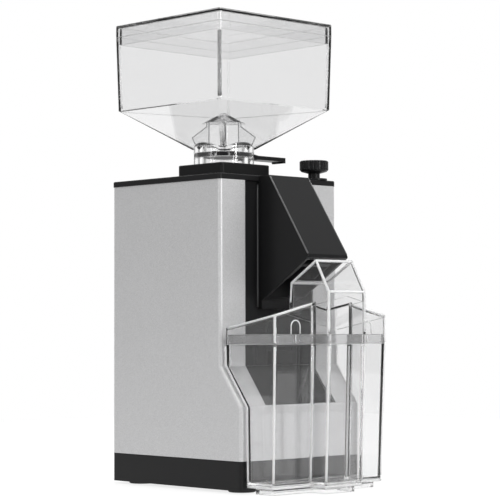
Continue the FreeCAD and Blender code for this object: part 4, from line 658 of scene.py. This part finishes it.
def add_scales():
    """Marks beside the grind knob and the timer dial, and a pointer on each."""
    cover_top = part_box("top_cover")[1].z / MM
    knob_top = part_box("adjust_knob")[1].z / MM
    level = (SIDEWAYS, FORWARD)
    scale = marks((*KNOB, cover_top), KNOB_SCALE, np.linspace(*KNOB_MARKS), *level)
    trim("grind_marks", "housing", "pale_plastic", scale, UPWARD, MARK_RADIUS, PRINT)
    pointer = marks((*KNOB, knob_top), KNOB_POINTER, [KNOB_POINTS_TO], *level)
    trim("knob_pointer", "grind_knob", "pale_plastic", pointer, UPWARD, MARK_RADIUS, PRINT)
    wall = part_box("body_shell")[1].x / MM
    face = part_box("timer_dial")[1].x / MM
    upright = (FORWARD, UPWARD)
    dark = FINISHES["dark_plastic"]
    scale = marks((wall, *TIMER), TIMER_SCALE, np.linspace(*TIMER_MARKS), *upright)
    trim("timer_marks", "housing", "dark_plastic", scale, SIDEWAYS, MARK_RADIUS, dark)
    pointer = marks((face, *TIMER), TIMER_POINTER, [TIMER_POINTS_TO], *upright)
    trim("timer_pointer", "timer_dial", "pale_plastic", pointer, SIDEWAYS, MARK_RADIUS, PRINT)


add_container_edges()
add_latches()
add_button_frame()
add_hopper_corners()
add_guard_edges()
add_spout_edges()
add_scales()


def flat_sheet(name, half, material):
    """A level square sheet at table height: its four corners, X and Y at plus and minus half."""
    corners = [(-half, -half, 0), (half, -half, 0), (half, half, 0), (-half, half, 0)]
    mesh = bpy.data.meshes.new(name)
    mesh.from_pydata(corners, [], [(0, 1, 2, 3)])
    mesh.materials.append(material)
    sheet = bpy.data.objects.new(name, mesh)
    bpy.context.collection.objects.link(sheet)
    return sheet


def looking(place, aim):
    """The matrix of something that stands at a place and looks at a point, upright."""
    ray = Vector(aim) - Vector(place)
    return Matrix.Translation(place) @ ray.to_track_quat("-Z", "Y").to_matrix().to_4x4()


def soft_light(name, place, size, power):
    """A large area light that looks from its place at the lit point."""
    lamp = bpy.data.lights.new(name, "AREA")
    lamp.shape = "RECTANGLE"
    lamp.size, lamp.size_y = size
    lamp.energy = power
    lit = bpy.data.objects.new(name, lamp)
    lit.matrix_world = looking(place, LIT_POINT)
    bpy.context.collection.objects.link(lit)


def set_world():
    """A bright-field studio: white behind the object, a grey and a white ring, and grey sides.

    The grey follows (1 + d . v) / 2, where d is the ray's direction and v a fixed direction, from
    EYE to AIM, so it changes in rings about that line. Whatever camera looks sees plain white.
    """
    world = bpy.data.worlds.new("studio")
    world.use_nodes = True
    nodes, links = world.node_tree.nodes, world.node_tree.links
    sight = (Vector(AIM) - Vector(EYE)).normalized()
    place = nodes.new("ShaderNodeTexCoord")
    along = nodes.new("ShaderNodeVectorMath")
    along.operation = "DOT_PRODUCT"
    along.inputs[1].default_value = sight
    links.new(place.outputs["Generated"], along.inputs[0])
    fade = nodes.new("ShaderNodeValToRGB")
    stops = fade.color_ramp
    stops.interpolation = "EASE"
    first, *between, last = WORLD_RINGS
    for stop, (at, grey) in zip(stops.elements, (first, last)):
        stop.position = at
        stop.color = (grey, grey, grey, 1)
    for at, grey in between:
        stops.elements.new(at).color = (grey, grey, grey, 1)
    spread = nodes.new("ShaderNodeMapRange")
    spread.inputs["From Min"].default_value = -1.0
    links.new(along.outputs["Value"], spread.inputs["Value"])
    links.new(spread.outputs["Result"], fade.inputs["Fac"])
    seen = nodes.new("ShaderNodeLightPath")
    mix = nodes.new("ShaderNodeMix")
    mix.data_type = "RGBA"
    links.new(seen.outputs["Is Camera Ray"], mix.inputs["Factor"])
    links.new(fade.outputs["Color"], mix.inputs["A"])
    mix.inputs["B"].default_value = (1, 1, 1, 1)
    links.new(mix.outputs["Result"], nodes["Background"].inputs["Color"])
    bpy.context.scene.world = world


def set_stage():
    """A pale floor, the world and the soft lights."""
    pale = bpy.data.materials.new("pale floor")
    pale.use_nodes = True
    shader = pale.node_tree.nodes["Principled BSDF"]
    shader.inputs["Base Color"].default_value = (FLOOR_GREY, FLOOR_GREY, FLOOR_GREY, 1)
    shader.inputs["Emission Color"].default_value = (1, 1, 1, 1)
    shader.inputs["Emission Strength"].default_value = FLOOR_GLOW
    shader.inputs["Roughness"].default_value = FLOOR_ROUGHNESS
    flat_sheet("floor", FLOOR_HALF, pale)
    set_world()
    for name, place, size, power in LIGHTS:
        soft_light(name, place, size, power)


def set_camera():
    """A camera at the photograph's viewing angle."""
    lens = bpy.data.cameras.new("camera")
    lens.sensor_fit = "HORIZONTAL"
    lens.sensor_width = SENSOR
    lens.lens = LENS
    eye = bpy.data.objects.new("camera", lens)
    eye.matrix_world = looking(EYE, AIM) @ Matrix.Rotation(ROLL, 4, "Z")
    bpy.context.collection.objects.link(eye)
    bpy.context.scene.camera = eye


set_stage()
set_camera()
bpy.context.scene.view_settings.view_transform = "Standard"
